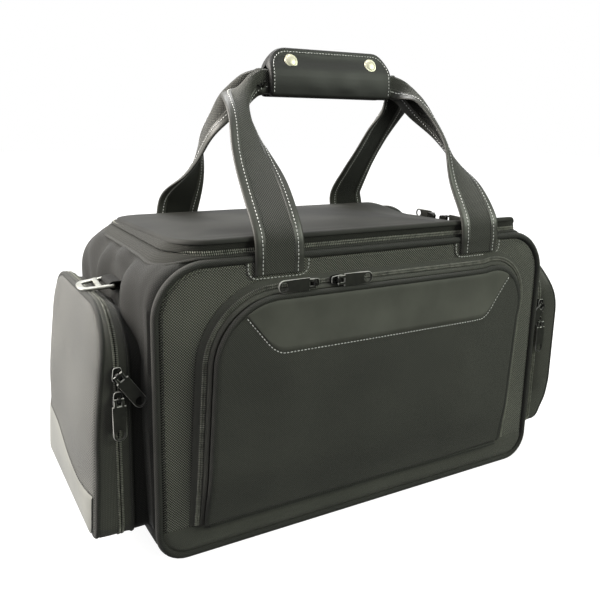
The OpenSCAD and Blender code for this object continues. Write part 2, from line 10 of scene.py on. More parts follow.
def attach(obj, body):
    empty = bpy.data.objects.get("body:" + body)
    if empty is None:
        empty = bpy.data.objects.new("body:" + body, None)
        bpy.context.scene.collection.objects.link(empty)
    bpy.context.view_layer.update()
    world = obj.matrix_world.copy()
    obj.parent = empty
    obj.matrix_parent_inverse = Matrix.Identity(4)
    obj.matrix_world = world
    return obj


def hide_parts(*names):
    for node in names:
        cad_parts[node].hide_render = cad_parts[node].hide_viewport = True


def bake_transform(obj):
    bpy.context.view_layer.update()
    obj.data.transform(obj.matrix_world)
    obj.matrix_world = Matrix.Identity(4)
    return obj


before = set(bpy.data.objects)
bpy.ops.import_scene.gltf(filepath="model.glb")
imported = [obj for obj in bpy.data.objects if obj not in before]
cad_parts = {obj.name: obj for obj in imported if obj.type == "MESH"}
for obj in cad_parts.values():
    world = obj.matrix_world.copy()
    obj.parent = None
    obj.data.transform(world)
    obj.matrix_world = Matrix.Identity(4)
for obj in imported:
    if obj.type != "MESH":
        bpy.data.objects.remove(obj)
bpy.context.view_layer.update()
MM = 0.001

# Sizes of the frame that the dressing is built on, in millimetres
HALF_W, HALF_D, BODY_H, BAND_H = 232.0, 120.0, 280.0, 32.0
TOP_R, BASE_R = 50.0, 30.0
BODY = (-HALF_W, HALF_W, 0, BODY_H, BASE_R, TOP_R)
STRAIGHT = BODY_H - TOP_R - BAND_H
LID_X, LID_Y0, LID_Y1, LID_R, LID_TAPE = 211.0, -114.0, 106.0, 38.0, 10.0
MOUTH_X, MOUTH_R = LID_X - LID_TAPE, LID_R - LID_TAPE
JOINT_Z, LID_TOP = 284.2, 296.8
STRAP_W, FOOT_SPACING, SHIFT = 50.0, 242.0, 9.0
STRAP_Y, PIVOT_Z = 122.7, 283.0
WEB_Z, WEB_H, WEB_Y = 434.0, 25.0, 4.35
GRIP_W, LEAF_BOTTOM, WEB_TOP, LEAF_TOP = 152.0, 420.0, 446.5, 470.0
LEAF_IN, LEAF_OUT, LEAF_EDGE, LEAF_R = 8.0, 13.0, 3.8, 22.0
COVER_X, COVER_TOP, COVER_R = 188.0, 246.0, 60.0
END_Y, END_Z0, END_Z1, END_R, END_FOOT_R = 100.0, 26.0, 240.0, 40.0, 14.0
END_ZIP_X, END_FACE = 257.5, 277.35
RING_X, RING_Y, RING_Z = 240.0, -20.0, 244.2
ENDS = {-1: "left", 1: "right"}


# Materials

class Shader:
    """Short names for making and joining the nodes of a material or a world."""

    def __init__(self, owner, **constants):
        owner.use_nodes = True
        self.owner, self.tree = owner, owner.node_tree
        self.base = self.tree.nodes.get("Principled BSDF")
        for key, value in constants.items():
            self.base.inputs[key.replace("_", " ")].default_value = value

    def feed(self, socket, value):
        if isinstance(value, bpy.types.NodeSocket):
            self.tree.links.new(value, socket)
        else:
            socket.default_value = value

    def node(self, kind, settings=None, *values, **inputs):
        made = self.tree.nodes.new("ShaderNode" + kind)
        for key, value in (settings or {}).items():
            setattr(made, key, value)
        for place, value in enumerate(values):
            self.feed(made.inputs[place], value)
        for key, value in inputs.items():
            self.feed(made.inputs[key.replace("_", " ")], value)
        return made

    def math(self, operation, a, b=0.0):
        return self.node("Math", {"operation": operation}, a, b).outputs[0]

    def mix(self, share, a, b):
        made = self.node("Mix", {"data_type": "FLOAT"}, share)
        self.feed(made.inputs[2], a)
        self.feed(made.inputs[3], b)
        return made.outputs[0]

    def ramp(self, share, low, high, at=(0.0, 1.0)):
        made = self.node("ValToRGB", Fac=share)
        for stop, place, colour in zip(made.color_ramp.elements, at, (low, high)):
            stop.position = place
            stop.color = (*colour, 1.0)
        return made.outputs["Color"]

    def coordinates(self, kind):
        return self.node("TexCoord").outputs[kind]

    def uv(self, size):
        """The surface's own two directions, one unit to every size millimetres."""
        place = self.coordinates("UV")
        scaled = self.node("VectorMath", {"operation": "SCALE"}, place, Scale=1.0 / (size * MM))
        return self.node("SeparateXYZ", Vector=scaled.outputs[0]).outputs[:2]

    def noise(self, size, detail=3.0):
        place = self.coordinates("Object")
        return self.node("TexNoise", Vector=place, Scale=1.0 / (size * MM), Detail=detail).outputs["Fac"]

    def weave(self, cell, threads):
        """Height of a basket weave whose cells hold so many threads each."""
        u, v = self.uv(cell)
        cells = self.math("ADD", self.math("FLOOR", u), self.math("FLOOR", v))
        parity = self.math("FLOORED_MODULO", cells, 2.0)
        heights = []
        for along, over in ((u, v), (v, u)):
            arch = self.math("SINE", self.math("MULTIPLY", self.math("FRACT", along), math.pi))
            wave = self.math("SINE", self.math("MULTIPLY", over, math.pi * threads))
            heights.append(self.math("MULTIPLY", arch, self.math("ABSOLUTE", wave)))
        return self.mix(parity, *heights), parity

    def bump(self, height, strength, distance, under=None):
        made = self.node("Bump", Height=height, Strength=strength, Distance=distance * MM)
        if under is not None:
            self.feed(made.inputs["Normal"], under)
        return made.outputs["Normal"]

    def finish(self, colour=None, roughness=None, normal=None):
        for name, value in (("Base Color", colour), ("Roughness", roughness), ("Normal", normal)):
            if value is not None:
                self.feed(self.base.inputs[name], value)
        return self.owner


def shader(name, **constants):
    return Shader(bpy.data.materials.new(name), **constants)


def cloth(name, cell, threads, dark, light, depth, rough=(0.6, 0.8), contrast=0.75, specular=0.4):
    """Woven cloth: threads over and under, with painted light on the weave: the thread crowns paler as a
    painted highlight, the gaps between them darker as painted shade, and one set paler as if lit from one
    side; with slow variation in tone and shine.
    """
    s = shader(name, Sheen_Weight=0.06, Sheen_Roughness=0.45, Specular_IOR_Level=specular)
    height, parity = s.weave(cell, threads)
    slow = s.noise(70.0)
    # Painted light and shade: the colour follows the weave's height, a painted highlight on the crowns and
    # painted shade in the gaps, and the contrast darkens one thread set as painted shade.
    crown = s.math("MULTIPLY", height, s.mix(parity, 1.0 - contrast, 1.0))
    shade = s.math("ADD", crown, s.math("MULTIPLY", s.math("SUBTRACT", slow, 0.5), 0.3))
    normal = s.bump(height, 0.7, depth, s.bump(s.noise(9.0), 0.18, 0.6))
    return s.finish(s.ramp(shade, dark, light, (0.02, 0.85)), s.mix(slow, *rough), normal)


def leather(name, dark, light, rough, specular=0.5):
    """Leather-look coating: a fine pebble grain with soft creases."""
    s = shader(name, Specular_IOR_Level=specular)
    place, grain = s.coordinates("Object"), 1.1
    pebble = s.node("TexVoronoi", {"feature": "SMOOTH_F1"}, Vector=place, Scale=1.0 / (grain * MM))
    slow = s.noise(45.0)
    normal = s.bump(pebble.outputs["Distance"], 0.22, 0.14, s.bump(s.noise(16.0, 4.0), 0.16, 0.9))
    return s.finish(s.ramp(slow, dark, light, (0.3, 0.75)), s.mix(slow, *rough), normal)


def metal(name, dark, light, rough, metallic=1.0):
    s = shader(name, Metallic=metallic)
    slow = s.noise(5.0, 5.0)
    normal = s.bump(s.noise(0.8, 2.0), 0.08, 0.05)
    return s.finish(s.ramp(slow, dark, light, (0.3, 0.8)), s.mix(slow, *rough), normal)


def thread(name, dark, light):
    """Twisted sewing thread."""
    s = shader(name, Sheen_Weight=0.2)
    twist = s.math("SINE", s.math("MULTIPLY", s.math("ADD", *s.uv(0.7)), math.tau))
    return s.finish(s.ramp(s.noise(6.0), dark, light, (0.3, 0.7)), None, s.bump(twist, 0.4, 0.1))


def grey(value, warm=0.15):
    """A near-black or grey, a little towards olive."""
    return (value * (1 - warm * 0.06), value, value * (1 - warm))


NYLON = cloth("ballistic_nylon", 1.25, 2, grey(0.003), grey(0.42), 0.6, contrast=0.92)
BACK_NYLON = cloth("back_nylon", 1.25, 2, grey(0.003), grey(0.19), 0.5, contrast=0.85)
COVER_NYLON = cloth("pocket_front_nylon", 1.0, 2, grey(0.010), grey(0.12), 0.35, contrast=0.6)
STRAP_NYLON = cloth("strap_nylon", 1.25, 2, grey(0.005), grey(0.17), 0.5, contrast=0.85)
# The straps' undersides take a darker copy of the strap cloth: painted shade for the shadow on their inner
# faces.
PAINTED_SHADE_STRAP_UNDERSIDE = cloth("under_strap_painted_shade", 1.0, 2, grey(0.004), grey(0.045), 0.35, contrast=0.5, specular=0.2)
# A darker copy of the nylon for the end walls, the lower band and the end pockets' walls: painted shade for
# the shade that falls there.
PAINTED_SHADE_WALL_CLOTH = cloth("painted_shade_wall_cloth", 1.25, 2, grey(0.003, 0.1), grey(0.050, 0.1), 0.3, (0.6, 0.8), 0.4, 0.25)
# A paler copy of the nylon for the end pockets' faces: its paler colour is painted light, for the window
# light these faces catch; its higher shine is its own.
PAINTED_LIGHT_POCKET_CLOTH = cloth("painted_light_pocket_cloth", 1.25, 2, grey(0.014, 0.1), grey(0.235, 0.1), 0.4, (0.5, 0.65), 0.7, 0.5)
FOOT_CLOTH = cloth("foot_cloth", 1.0, 2, grey(0.018), grey(0.14), 0.25, contrast=0.3)
FINE = cloth("binding_cloth", 1.1, 2, grey(0.007), grey(0.065), 0.25)
TAPE = cloth("zip_tape", 1.0, 2, grey(0.014), grey(0.13), 0.25, (0.7, 0.9), 0.3)
LID_BAND = cloth("lid_band_cloth", 1.0, 2, grey(0.006), grey(0.055), 0.25, (0.7, 0.9), 0.3, 0.25)
WEB = cloth("ring_web", 1.0, 2, grey(0.003), grey(0.025), 0.3, specular=0.2)
LINING = cloth("lining_cloth", 0.7, 1, grey(0.030, -0.04), grey(0.075, -0.04), 0.1, (0.5, 0.7), 0.2)
LEATHER = leather("coated_leather", grey(0.064), grey(0.098), (0.42, 0.54))
LID_LEATHER = leather("lid_leather", grey(0.020, 0.1), grey(0.034, 0.1), (0.58, 0.68), specular=0.16)
GRIP_LEATHER = leather("grip_leather", grey(0.006), grey(0.012), (0.50, 0.62))
EDGE_LEATHER = leather("strap_edge", grey(0.028), grey(0.058), (0.36, 0.50))
TRIM_LEATHER = leather("pocket_trim", grey(0.14, 0.1), grey(0.21, 0.1), (0.34, 0.46))
WHITE_THREAD = thread("white_thread", grey(0.60, 0.02), grey(0.82, 0.02))
BLACK_THREAD = thread("black_thread", grey(0.012), grey(0.03))
# The zip coils are given a pale grey colour: a painted highlight on the teeth.
PALE_TEETH_PAINTED_HIGHLIGHT = metal("pale_teeth_painted_highlight", grey(0.16), grey(0.44), (0.25, 0.4), 0.0)
DARK_TEETH_PAINTED_HIGHLIGHT = metal("dark_teeth_painted_highlight", grey(0.12), grey(0.32), (0.25, 0.4), 0.0)
GLOSS = metal("black_fitting", grey(0.006), grey(0.014), (0.14, 0.28), 0.0)
PULL_BLACK = metal("pull_enamel", grey(0.018), grey(0.032), (0.24, 0.38), 0.0)
# Pale colour for the rim rows of sliders and pulls: a painted highlight along their edges.
PAINTED_RIM_HIGHLIGHT = metal("painted_rim_highlight", grey(0.34, 0.06), grey(0.60, 0.06), (0.25, 0.4), 0.4)
STEEL = metal("nickel", grey(0.34, 0.09), grey(0.48, 0.09), (0.34, 0.5))
SNAP = metal("snap_metal", (0.66, 0.62, 0.47), (0.86, 0.83, 0.68), (0.3, 0.45), 0.35)


# Points and outlines

def grid(*columns):
    """Points from columns of coordinates, spread to one shape."""
    return np.stack(np.broadcast_arrays(*columns), -1)


def unit(vectors):
    return vectors / np.linalg.norm(vectors, axis=-1, keepdims=True)


def square_to(vectors, axes):
    """What is left of vectors across their axes, at unit length."""
    return unit(vectors - axes * (vectors * axes).sum(-1, keepdims=True))


def lengths(path):
    """Length along a path up to each of its points."""
    return np.r_[0, np.cumsum(np.linalg.norm(np.diff(path, axis=0), axis=1))]


def ripple(a, b, size, seed):
    """Soft seeded unevenness over a surface, between about -1 and 1."""
    draw = np.random.default_rng(seed)
    total = 0.0
    for _ in range(6):
        turn, phase = draw.uniform(0, math.tau), draw.uniform(0, math.tau)
        scale = size * draw.uniform(0.7, 1.7)
        total = total + np.sin((a * math.cos(turn) + b * math.sin(turn)) * math.tau / scale + phase)
    return total / 3.0


def step(x, low, high):
    t = np.clip((x - low) / (high - low), 0.0, 1.0)
    return t * t * (3.0 - 2.0 * t)


def roll(d, r):
    """Rise of a rounded edge, from 0 at the outline to 1 at distance r and beyond."""
    t = 1 - np.clip(d / r, 0, 1)
    return np.sqrt(1 - t * t)


def eased(count, share):
    """Places from -1 to 1 that draw closer towards both ends."""
    t = np.linspace(-1, 1, count)
    return share * np.sin(t * math.pi / 2) + (1 - share) * t


def disc(r, sides):
    a = np.arange(sides) / sides * math.tau
    return r * grid(np.cos(a), np.sin(a))


def rounded(x0, x1, z0, z1, r_low, r_high, gap=4.0):
    """Closed outline, anticlockwise from the middle of the lower edge: points and outward normals."""
    at = np.array([(x0 + x1) / 2, z0])
    corners = [(x1 - r_low, z0 + r_low, r_low), (x1 - r_high, z1 - r_high, r_high),
               (x0 + r_high, z1 - r_high, r_high), (x0 + r_low, z0 + r_low, r_low), (*at, 0)]
    parts = []
    for k, (x, z, r) in enumerate(corners):
        count = max(6, round(r * math.pi / 2 / gap)) if r else 0
        turn = np.radians(90 * (k - 1) + 90 * (np.arange(count + 1) / max(count, 1)))
        facing = grid(np.cos(turn), np.sin(turn))
        arc = r * facing + (x, z)
        count = max(2, round(math.dist(at, arc[0]) / gap))
        t = np.arange(count)[:, None] / count
        parts += [np.hstack([at + (arc[0] - at) * t, facing[:1] + 0 * t]), np.hstack([arc, facing])[:-1]]
        at = arc[-1]
    data = np.concatenate(parts)
    return data[:, :2], data[:, 2:]


def open_run(keep, *parts):
    """The kept stretch of closed runs, from where it starts."""
    first = np.nonzero(~keep)[0][-1] + 1
    return [np.roll(part, -first, 0)[np.roll(keep, -first)] for part in parts]


def half_width(z, x1, z0, z1, r_low, r_high):
    """Half the outline's width at a height."""
    low = np.clip(z0 + r_low - z, 0, r_low)
    high = np.clip(z - (z1 - r_high), 0, r_high)
    return x1 - np.where(z < z0 + r_low, r_low - np.sqrt(r_low ** 2 - low ** 2),
                         r_high - np.sqrt(np.maximum(r_high ** 2 - high ** 2, 0)))


def depth_inside(x, z, x1, z0, z1, r_low, r_high):
    """Distance inward from a rounded outline that is centred on x = 0."""
    r = np.where(z > (z0 + z1) / 2, r_high, r_low)
    qx = np.abs(x) - x1 + r
    qz = np.abs(z - (z0 + z1) / 2) - (z1 - z0) / 2 + r
    outside = np.hypot(np.maximum(qx, 0), np.maximum(qz, 0)) + np.minimum(np.maximum(qx, qz), 0)
    return np.maximum(r - outside, 0)


def resample(path, normals, pitch):
    """Points, directions and normals at even spacing along a line."""
    along = lengths(path)
    count = max(1, int(along[-1] / pitch))
    at = (np.arange(count) + 0.5) * along[-1] / count

    def sample(values, places):
        return np.stack([np.interp(places, along, column) for column in values.T], -1)
    tangent = unit(sample(path, np.minimum(at + 0.5, along[-1])) - sample(path, np.maximum(at - 0.5, 0)))
    return sample(path, at), tangent, square_to(sample(normals, at), tangent)


# The places of outlines drawn flat: across, up and outward on each side of the bag

def front_place(a, b, level):
    return a, -level, b


def back_place(a, b, level):
    return a, level, b


def flat_place(a, b, level):
    return a, b, level


FACES = {"front": front_place, "back": back_place}


# Mesh building

def build(name, verts, faces, material, uvs, sharp=40.0, indices=None):
    """A mesh object from millimetre points; uvs hold one pair for each corner of each face."""
    mesh = bpy.data.meshes.new(name)
    mesh.from_pydata((np.asarray(verts, float) * MM).tolist(), [], [list(map(int, f)) for f in faces])
    for m in material if isinstance(material, list) else [material]:
        mesh.materials.append(m)
    if indices is not None:
        mesh.polygons.foreach_set("material_index", np.asarray(indices, np.int32))
    layer = mesh.uv_layers.new(name="UVMap")
    layer.data.foreach_set("uv", (np.asarray(uvs, float) * MM).ravel().astype(np.float32))
    made = bmesh.new()
    made.from_mesh(mesh)
    bmesh.ops.recalc_face_normals(made, faces=made.faces)
    made.to_mesh(mesh)
    made.free()
    mesh.polygons.foreach_set("use_smooth", np.ones(len(mesh.polygons), bool))
    mesh.set_sharp_from_angle(angle=math.radians(sharp))
    obj = bpy.data.objects.new(name, mesh)
    bpy.context.scene.collection.objects.link(obj)
    return obj


def lattice_data(points, wrap_u=False, wrap_v=False, start=0, caps=False):
    """Faces and corner coordinates of a grid of points, with lengths along both directions as coordinates."""
    n, m = points.shape[:2]
    ring = np.concatenate([points, points[:1]]) if wrap_u else points
    ring = np.concatenate([ring, ring[:, :1]], 1) if wrap_v else ring
    gaps = [np.linalg.norm(np.diff(ring, axis=k), axis=2).mean(1 - k) for k in (0, 1)]
    u, v = (np.r_[0, np.cumsum(gap)] for gap in gaps)
    faces, uvs = [], []
    for i in range(len(u) - 1):
        for j in range(len(v) - 1):
            a, b, k = start + i * m, start + (i + 1) % n * m, (j + 1) % m
            faces.append((a + j, b + j, b + k, a + k))
            uvs += [(u[i], v[j]), (u[i + 1], v[j]), (u[i + 1], v[j + 1]), (u[i], v[j + 1])]
    for first in (start, start + (n - 1) * m) if caps else ():
        faces.append(range(first, first + m))
        uvs += [(0, 0)] * m
    return faces, uvs


def lattice(name, points, material, wrap_u=False, wrap_v=False, caps=False, sharp=40.0):
    """A mesh from a grid of points; caps take their coordinates from their own points."""
    faces, uvs = lattice_data(points, wrap_u, wrap_v, 0, caps)
    if caps:
        ends = np.concatenate([points[0], points[-1]])
        uvs[-len(ends):] = ends[:, :2] + ends[:, 2:]
    return build(name, points.reshape(-1, 3), faces, material, uvs, sharp)


def shell(name, over, under, material, uv=None, sharp=40.0):
    """A sheet or pad: two grids of points, one over the other, closed round their rim."""
    n, m = over.shape[:2]
    size = n * m
    faces, uvs = lattice_data(over)
    lower, lower_uvs = lattice_data(under, start=size)
    if uv is not None:
        uvs = lower_uvs = [uv[v] for face in faces for v in face]
    faces, uvs = faces + lower, uvs + lower_uvs
    index = np.arange(size).reshape(n, m)
    rim = np.concatenate([index[:, 0], index[-1, 1:], index[-2::-1, -1], index[0, -2:0:-1]])
    for a, b in zip(rim, np.roll(rim, -1)):
        faces.append((a, b, b + size, a + size))
        uvs += [(0, 0), (1, 0), (1, 1), (0, 1)] if uv is None else [uv[a], uv[b], uv[b] + 1, uv[a] + 1]
    points = np.concatenate([over.reshape(-1, 3), under.reshape(-1, 3)])
    return build(name, points, faces, material, uvs, sharp)


def thick(name, points, inward, depth, material):
    """A sheet with real thickness: a grid of points and the same grid moved inward."""
    return shell(name, points, points + np.asarray(inward, float) * depth, material)


def pillow(name, shape, place, front, back, material, centre=0.0, columns=64, rows=56):
    """A closed padded panel over a rounded outline; front and back give its two faces' levels."""
    z0, z1 = shape[1:3]
    z = (z0 + z1) / 2 + (z1 - z0) / 2 * eased(rows, 0.8)
    z[0], z[-1] = z0, z1
    X = np.outer(half_width(z, *shape), eased(columns, 0.65))
    Z = z[:, None] + 0 * X
    d = depth_inside(X, Z, *shape)
    levels = [level(X, Z, d) if callable(level) else level for level in (front, back)]
    over, under = (grid(*place(X + centre, Z, level)) for level in levels)
    return shell(name, over, under, material, grid(X, Z).reshape(-1, 2), 50.0)


def sweep(name, path, normals, section, place, material, closed=True, sharp=40.0):
    """A closed section of (outward, level) pairs carried along a plane outline."""
    rows = []
    for p, n in zip(path, normals):
        out, level = np.array(section(p, n) if callable(section) else section, float).T
        rows.append(grid(*place(p[0] + n[0] * out, p[1] + n[1] * out, level)))
    return lattice(name, np.array(rows), material, closed, True, not closed, sharp)


BEAD = np.array([(-0.5, 0.35), (-0.36, 0.85), (0.0, 1.0), (0.36, 0.85), (0.5, 0.35)])
BEAD_SIDES = 6


def beads(name, runs, material, pitch, length, width, height, lift, slant=0.0):
    """Rows of small rounded beads: stitches along a seam or coils along a zip."""
    sides, last = BEAD_SIDES, len(BEAD) - 1
    ring = disc(1.0, sides)
    verts, faces, uvs = [], [], []
    for path, normals in runs:
        points, tangents, ups = resample(path, normals, pitch)
        along = tangents * math.cos(slant) + np.cross(ups, tangents) * math.sin(slant)
        for p, t, s, up in zip(points, along, np.cross(ups, along), ups):
            base = len(verts)
            verts += [p + t * at * length + s * c * scale * width / 2 + up * (h * scale * height / 2 + lift)
                      for at, scale in BEAD for c, h in ring]
            for i in range(last):
                for j in range(sides):
                    a, b, k = base + i * sides, base + (i + 1) * sides, (j + 1) % sides
                    faces.append((a + j, a + k, b + k, b + j))
                    uvs += [(i, j), (i, j + 1), (i + 1, j + 1), (i + 1, j)]
            for first in (base, base + last * sides):
                faces.append(range(first, first + sides))
                uvs += [(0, j) for j in range(sides)]
    return build(name, verts, faces, material, uvs, 60.0)


def stitches(name, runs, material=WHITE_THREAD, pitch=3.6):
    return beads(name, runs, material, pitch, pitch * 0.64, 1.0, 0.8, 0.25)


def coils(name, run, bar=2.3, pitch=1.7, material=DARK_TEETH_PAINTED_HIGHLIGHT):
    """One half of a coil zip: short bars across the tape's edge."""
    return beads(name, [run], material, pitch, bar, pitch * 0.6, 1.7, 0.35, math.pi / 2)


def dress(obj, body, nodes=()):
    """Puts a finished piece on its body and the place of the solids that it stands for."""
    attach(obj, body)
    if nodes:
        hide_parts(*nodes)
    return obj


def sew(name, seam, facing, body, slot, *thread_and_pitch):
    """A row of stitches along a seam, on the side that it faces."""
    run = (seam, np.broadcast_to(np.array(facing, float), seam.shape))
    dress(stitches(name, [run], *thread_and_pitch), body)


def cut(area=None):
    """Takes a sheet's cut area in square millimetres and turns it into square metres; the result is not kept.
    """
    area = None if area is None else area * MM * MM


# Body

# The end walls' bulge and thickness, the seams at their edges and how square their shoulders are
BULGE, WALL_T, SEAM_Y, SQUARE = 8.0, 3.2, 114.5, 0.62
# How far the top's right end sags
SINK = 16.0


def fullness(y):
    """1 in the middle of an end wall, falling to 0 at the seams with the panels."""
    return 1 - np.clip(np.abs(y) / (SEAM_Y + 1), 0, 1) ** 5


def foot_bulge(height, y):
    """How far an end wall stands out at a height above its lower seam."""
    return BULGE * fullness(y) * step(height, -40, 140)


def seam_groove(distance):
    return 1.8 * np.exp(-(distance / 2.2) ** 2)


def seam_dip(y):
    return 5.5 * step(np.abs(y), 110.0, SEAM_Y)


def settle(x, y):
    """How far the soft top sinks at its right end, as a share."""
    start = 40 + 100 * step(y, 50, LID_Y1)
    return step(x, start, LID_X) * step(y, -116, -82) * (1 - 0.25 * step(y, 85, 125))


def shoulder(turn, y):
    """Profile of an end wall's top: a quarter circle at the seams, fuller in between."""
    c, s = np.maximum(np.cos(turn), 1e-6), np.sin(turn)
    full = fullness(y)
    x = HALF_W - TOP_R + (1 - full) * TOP_R * c + full * (TOP_R + BULGE) * c ** SQUARE
    z = BODY_H - TOP_R + (1 - full) * TOP_R * s + full * (TOP_R - 0.5) * s ** SQUARE
    return x, z


def body_top(x, y):
    """Height of the body's top at a point."""
    over = np.clip(np.abs(x) - (HALF_W - TOP_R), 0, TOP_R)
    circle = np.sqrt(TOP_R ** 2 - over ** 2)
    turn = np.arccos(np.clip((over / (TOP_R + BULGE)) ** (1 / SQUARE), 0, 1))
    full = fullness(y)
    z = BODY_H - TOP_R + (1 - full) * circle + full * (TOP_R - 0.5) * np.sin(turn) ** SQUARE
    return z - SINK * settle(x, y)


def opening_end(y):
    """Where the top of an end wall stops at the opening, as a distance from the middle."""
    mid, half = (LID_Y0 + LID_Y1) / 2, (LID_Y1 - LID_Y0) / 2 - LID_TAPE
    off = np.clip(np.abs(y - mid) - (half - MOUTH_R), 0, MOUTH_R)
    reach = MOUTH_X - MOUTH_R + np.sqrt(MOUTH_R ** 2 - off ** 2)
    return np.maximum(np.where(np.abs(y - mid) > half, 0, reach), HALF_W - TOP_R + 0.5)


def make_end_wall(side):
    """An end of the bag: up from the lower seam, then over the shoulder to the opening, with folds."""
    y = np.linspace(-SEAM_Y, SEAM_Y, 61)
    turns = np.linspace(0, math.pi / 2, 400)
    ends = [np.interp(-stop, -shoulder(turns, at)[0], turns) for at, stop in zip(y, opening_end(y))]
    low = np.linspace(0, STRAIGHT, 52)[:, None] + 0 * y
    high = np.linspace(0, 1, 46)[1:, None] * np.array(ends)
    x_high, z_high = shoulder(high, y)
    X = np.concatenate([HALF_W + foot_bulge(low, y), x_high])
    Z = np.concatenate([BAND_H + low, z_high])
    S = np.concatenate([low, STRAIGHT + high * (TOP_R + BULGE)])
    turn = np.concatenate([0 * low, high])
    folds = step(S, 130, 190) * (1 - step(S, 235, 285)) * fullness(y)
    fan = np.sin((y * 0.9 + (S - 180) * 0.4) / 12.0) + 0.7 * np.sin((y - S * 0.25) / 6.8 + 1.0)
    ring_hollow = (1 - step(np.abs(y - RING_Y), 17, 38)) * step(Z, 222, 240) * (1 - step(Z, 262, 279))
    out = 2.6 * folds * fan + 0.7 * ripple(y, S, 90, 11 + side) * fullness(y) - 6.0 * ring_hollow
    out -= seam_groove(S - 1.5) + np.exp(-((np.abs(y) - 102.5) / 1.6) ** 2) + seam_dip(y)
    X, Z = X + out * np.cos(turn), Z + out * np.sin(turn)
    sink = settle(side * X, y) * step(Z, 205, 272)
    points = grid(side * (X - 3 * sink), y, Z - SINK * sink)
    inward = grid(-side * np.cos(turn), 0, -np.sin(turn))
    name = ENDS[side]
    wall = thick(name + "_end_wall", points, inward, WALL_T, PAINTED_SHADE_WALL_CLOTH)
    dress(wall, "bag", [name + "_gusset"])


def make_band():
    """The lower strip: down one end, under the bag and up the other."""
    y = np.linspace(-SEAM_Y, SEAM_Y, 33)
    path, normals = rounded(*BODY, 5.0)
    path, normals = open_run(path[:, 1] <= BASE_R + 1e-6, path, normals)
    path = np.concatenate([[[-HALF_W, BAND_H]], path, [[HALF_W, BAND_H]]])
    normals = np.concatenate([[[-1, 0]], normals, [[1, 0]]])
    x, z, nx, nz = (part[:, None] for part in (*path.T, *normals.T))
    out = foot_bulge(z - BAND_H, y) * np.abs(nx) - seam_groove(z - BAND_H) - seam_dip(y)
    out = np.where(nz < -0.99, 0.0, out)
    points = grid(x + nx * out, y, np.maximum(z + nz * out, 0))
    band = thick("lower_band", points, grid(-nx, 0, -nz), WALL_T, PAINTED_SHADE_WALL_CLOTH)
    dress(band, "bag", ["bottom_band"])


def make_top_strip(name, side):
    """The narrow strip of cloth between the lid's zip and a panel."""
    x = np.linspace(TOP_R - HALF_W, HALF_W - TOP_R, 91)[:, None]
    off = np.clip(np.abs(x) - (MOUTH_X - MOUTH_R), 0, MOUTH_R)
    edge = (LID_Y0 if side < 0 else LID_Y1) - side * (LID_TAPE + MOUTH_R - np.sqrt(MOUTH_R ** 2 - off ** 2))
    t = np.linspace(0, 1, 9)
    y = edge + (side * SEAM_Y - edge) * t
    z = BODY_H - 0.6 + 0.4 * ripple(x, y, 60, 21) - 2.0 * step(np.abs(y), 109, SEAM_Y)
    points = grid(x, y, z - SINK * settle(x, y) * (1 - t))
    dress(thick(name + "_top_strip", points, (0, 0, -1), 3.0, NYLON), "bag", ["top_strips"])


PIPING_IN, PIPING_R = 5.8, 3.5
PANEL = (HALF_W - PIPING_IN, PIPING_IN, BODY_H - PIPING_IN, BASE_R - PIPING_IN, TOP_R - PIPING_IN)


def make_panel(name, bulge, seed, material):
    """A main panel with its piping, its seam and the smooth strip sewn along its lower edge."""
    place = FACES[name]

    def face(x, z, d):
        uneven = 0.5 * ripple(x, z, 120, seed) * step(d, 4, 30)
        return HALF_D - 5 + 5.2 * roll(d, 5) + bulge * step(d, 4, 110) + uneven

    def on_face(x, z):
        return face(x, z, depth_inside(x, z, *PANEL))
    panel = pillow(name + "_panel_cloth", PANEL, place, face, HALF_D - 6.2, material)
    dress(panel, "bag", [name + "_panel"])
    path, normals = rounded(*BODY, 5.0)
    section = disc(PIPING_R, 14) + [-PIPING_R, HALF_D - 1.4]
    piping = sweep(name + "_edge_piping", path, normals, section, place, FINE)
    dress(piping, "bag", [name + "_piping"])
    outward = place(0, 0, 1)
    seam = grid(*place(*(path - 10.0 * normals).T, HALF_D))
    sew(name + "_panel_seam", seam, outward, "bag", "piping", BLACK_THREAD, 4.0)
    across = np.linspace(-1, 1, 91)
    z = np.linspace(PIPING_IN + 1.5, BAND_H - 0.5, 9)[:, None]
    x = (half_width(z, *PANEL) - 1.2) * across
    level = on_face(x, z) + 0.5 + 0.5 * roll(BAND_H - 0.5 - z, 1.2)
    strip = thick(name + "_foot_strip", grid(*place(x, z, level)), place(0, 0, -1), 0.9, FOOT_CLOTH)
    dress(strip, "bag")
    x, z = across * (half_width(BAND_H, *PANEL) - 1.2), BAND_H + 0.6
    seam = grid(*place(x, z, on_face(x, z)))
    sew(name + "_foot_seam", seam, outward, "bag", "nylon", BLACK_THREAD, 3.0)


for side in ENDS:
    make_end_wall(side)
make_band()
make_top_strip("front", -1)
make_top_strip("back", 1)
make_panel("front", 0.0, 31, NYLON)
make_panel("back", 7.0, 32, BACK_NYLON)


# Inside

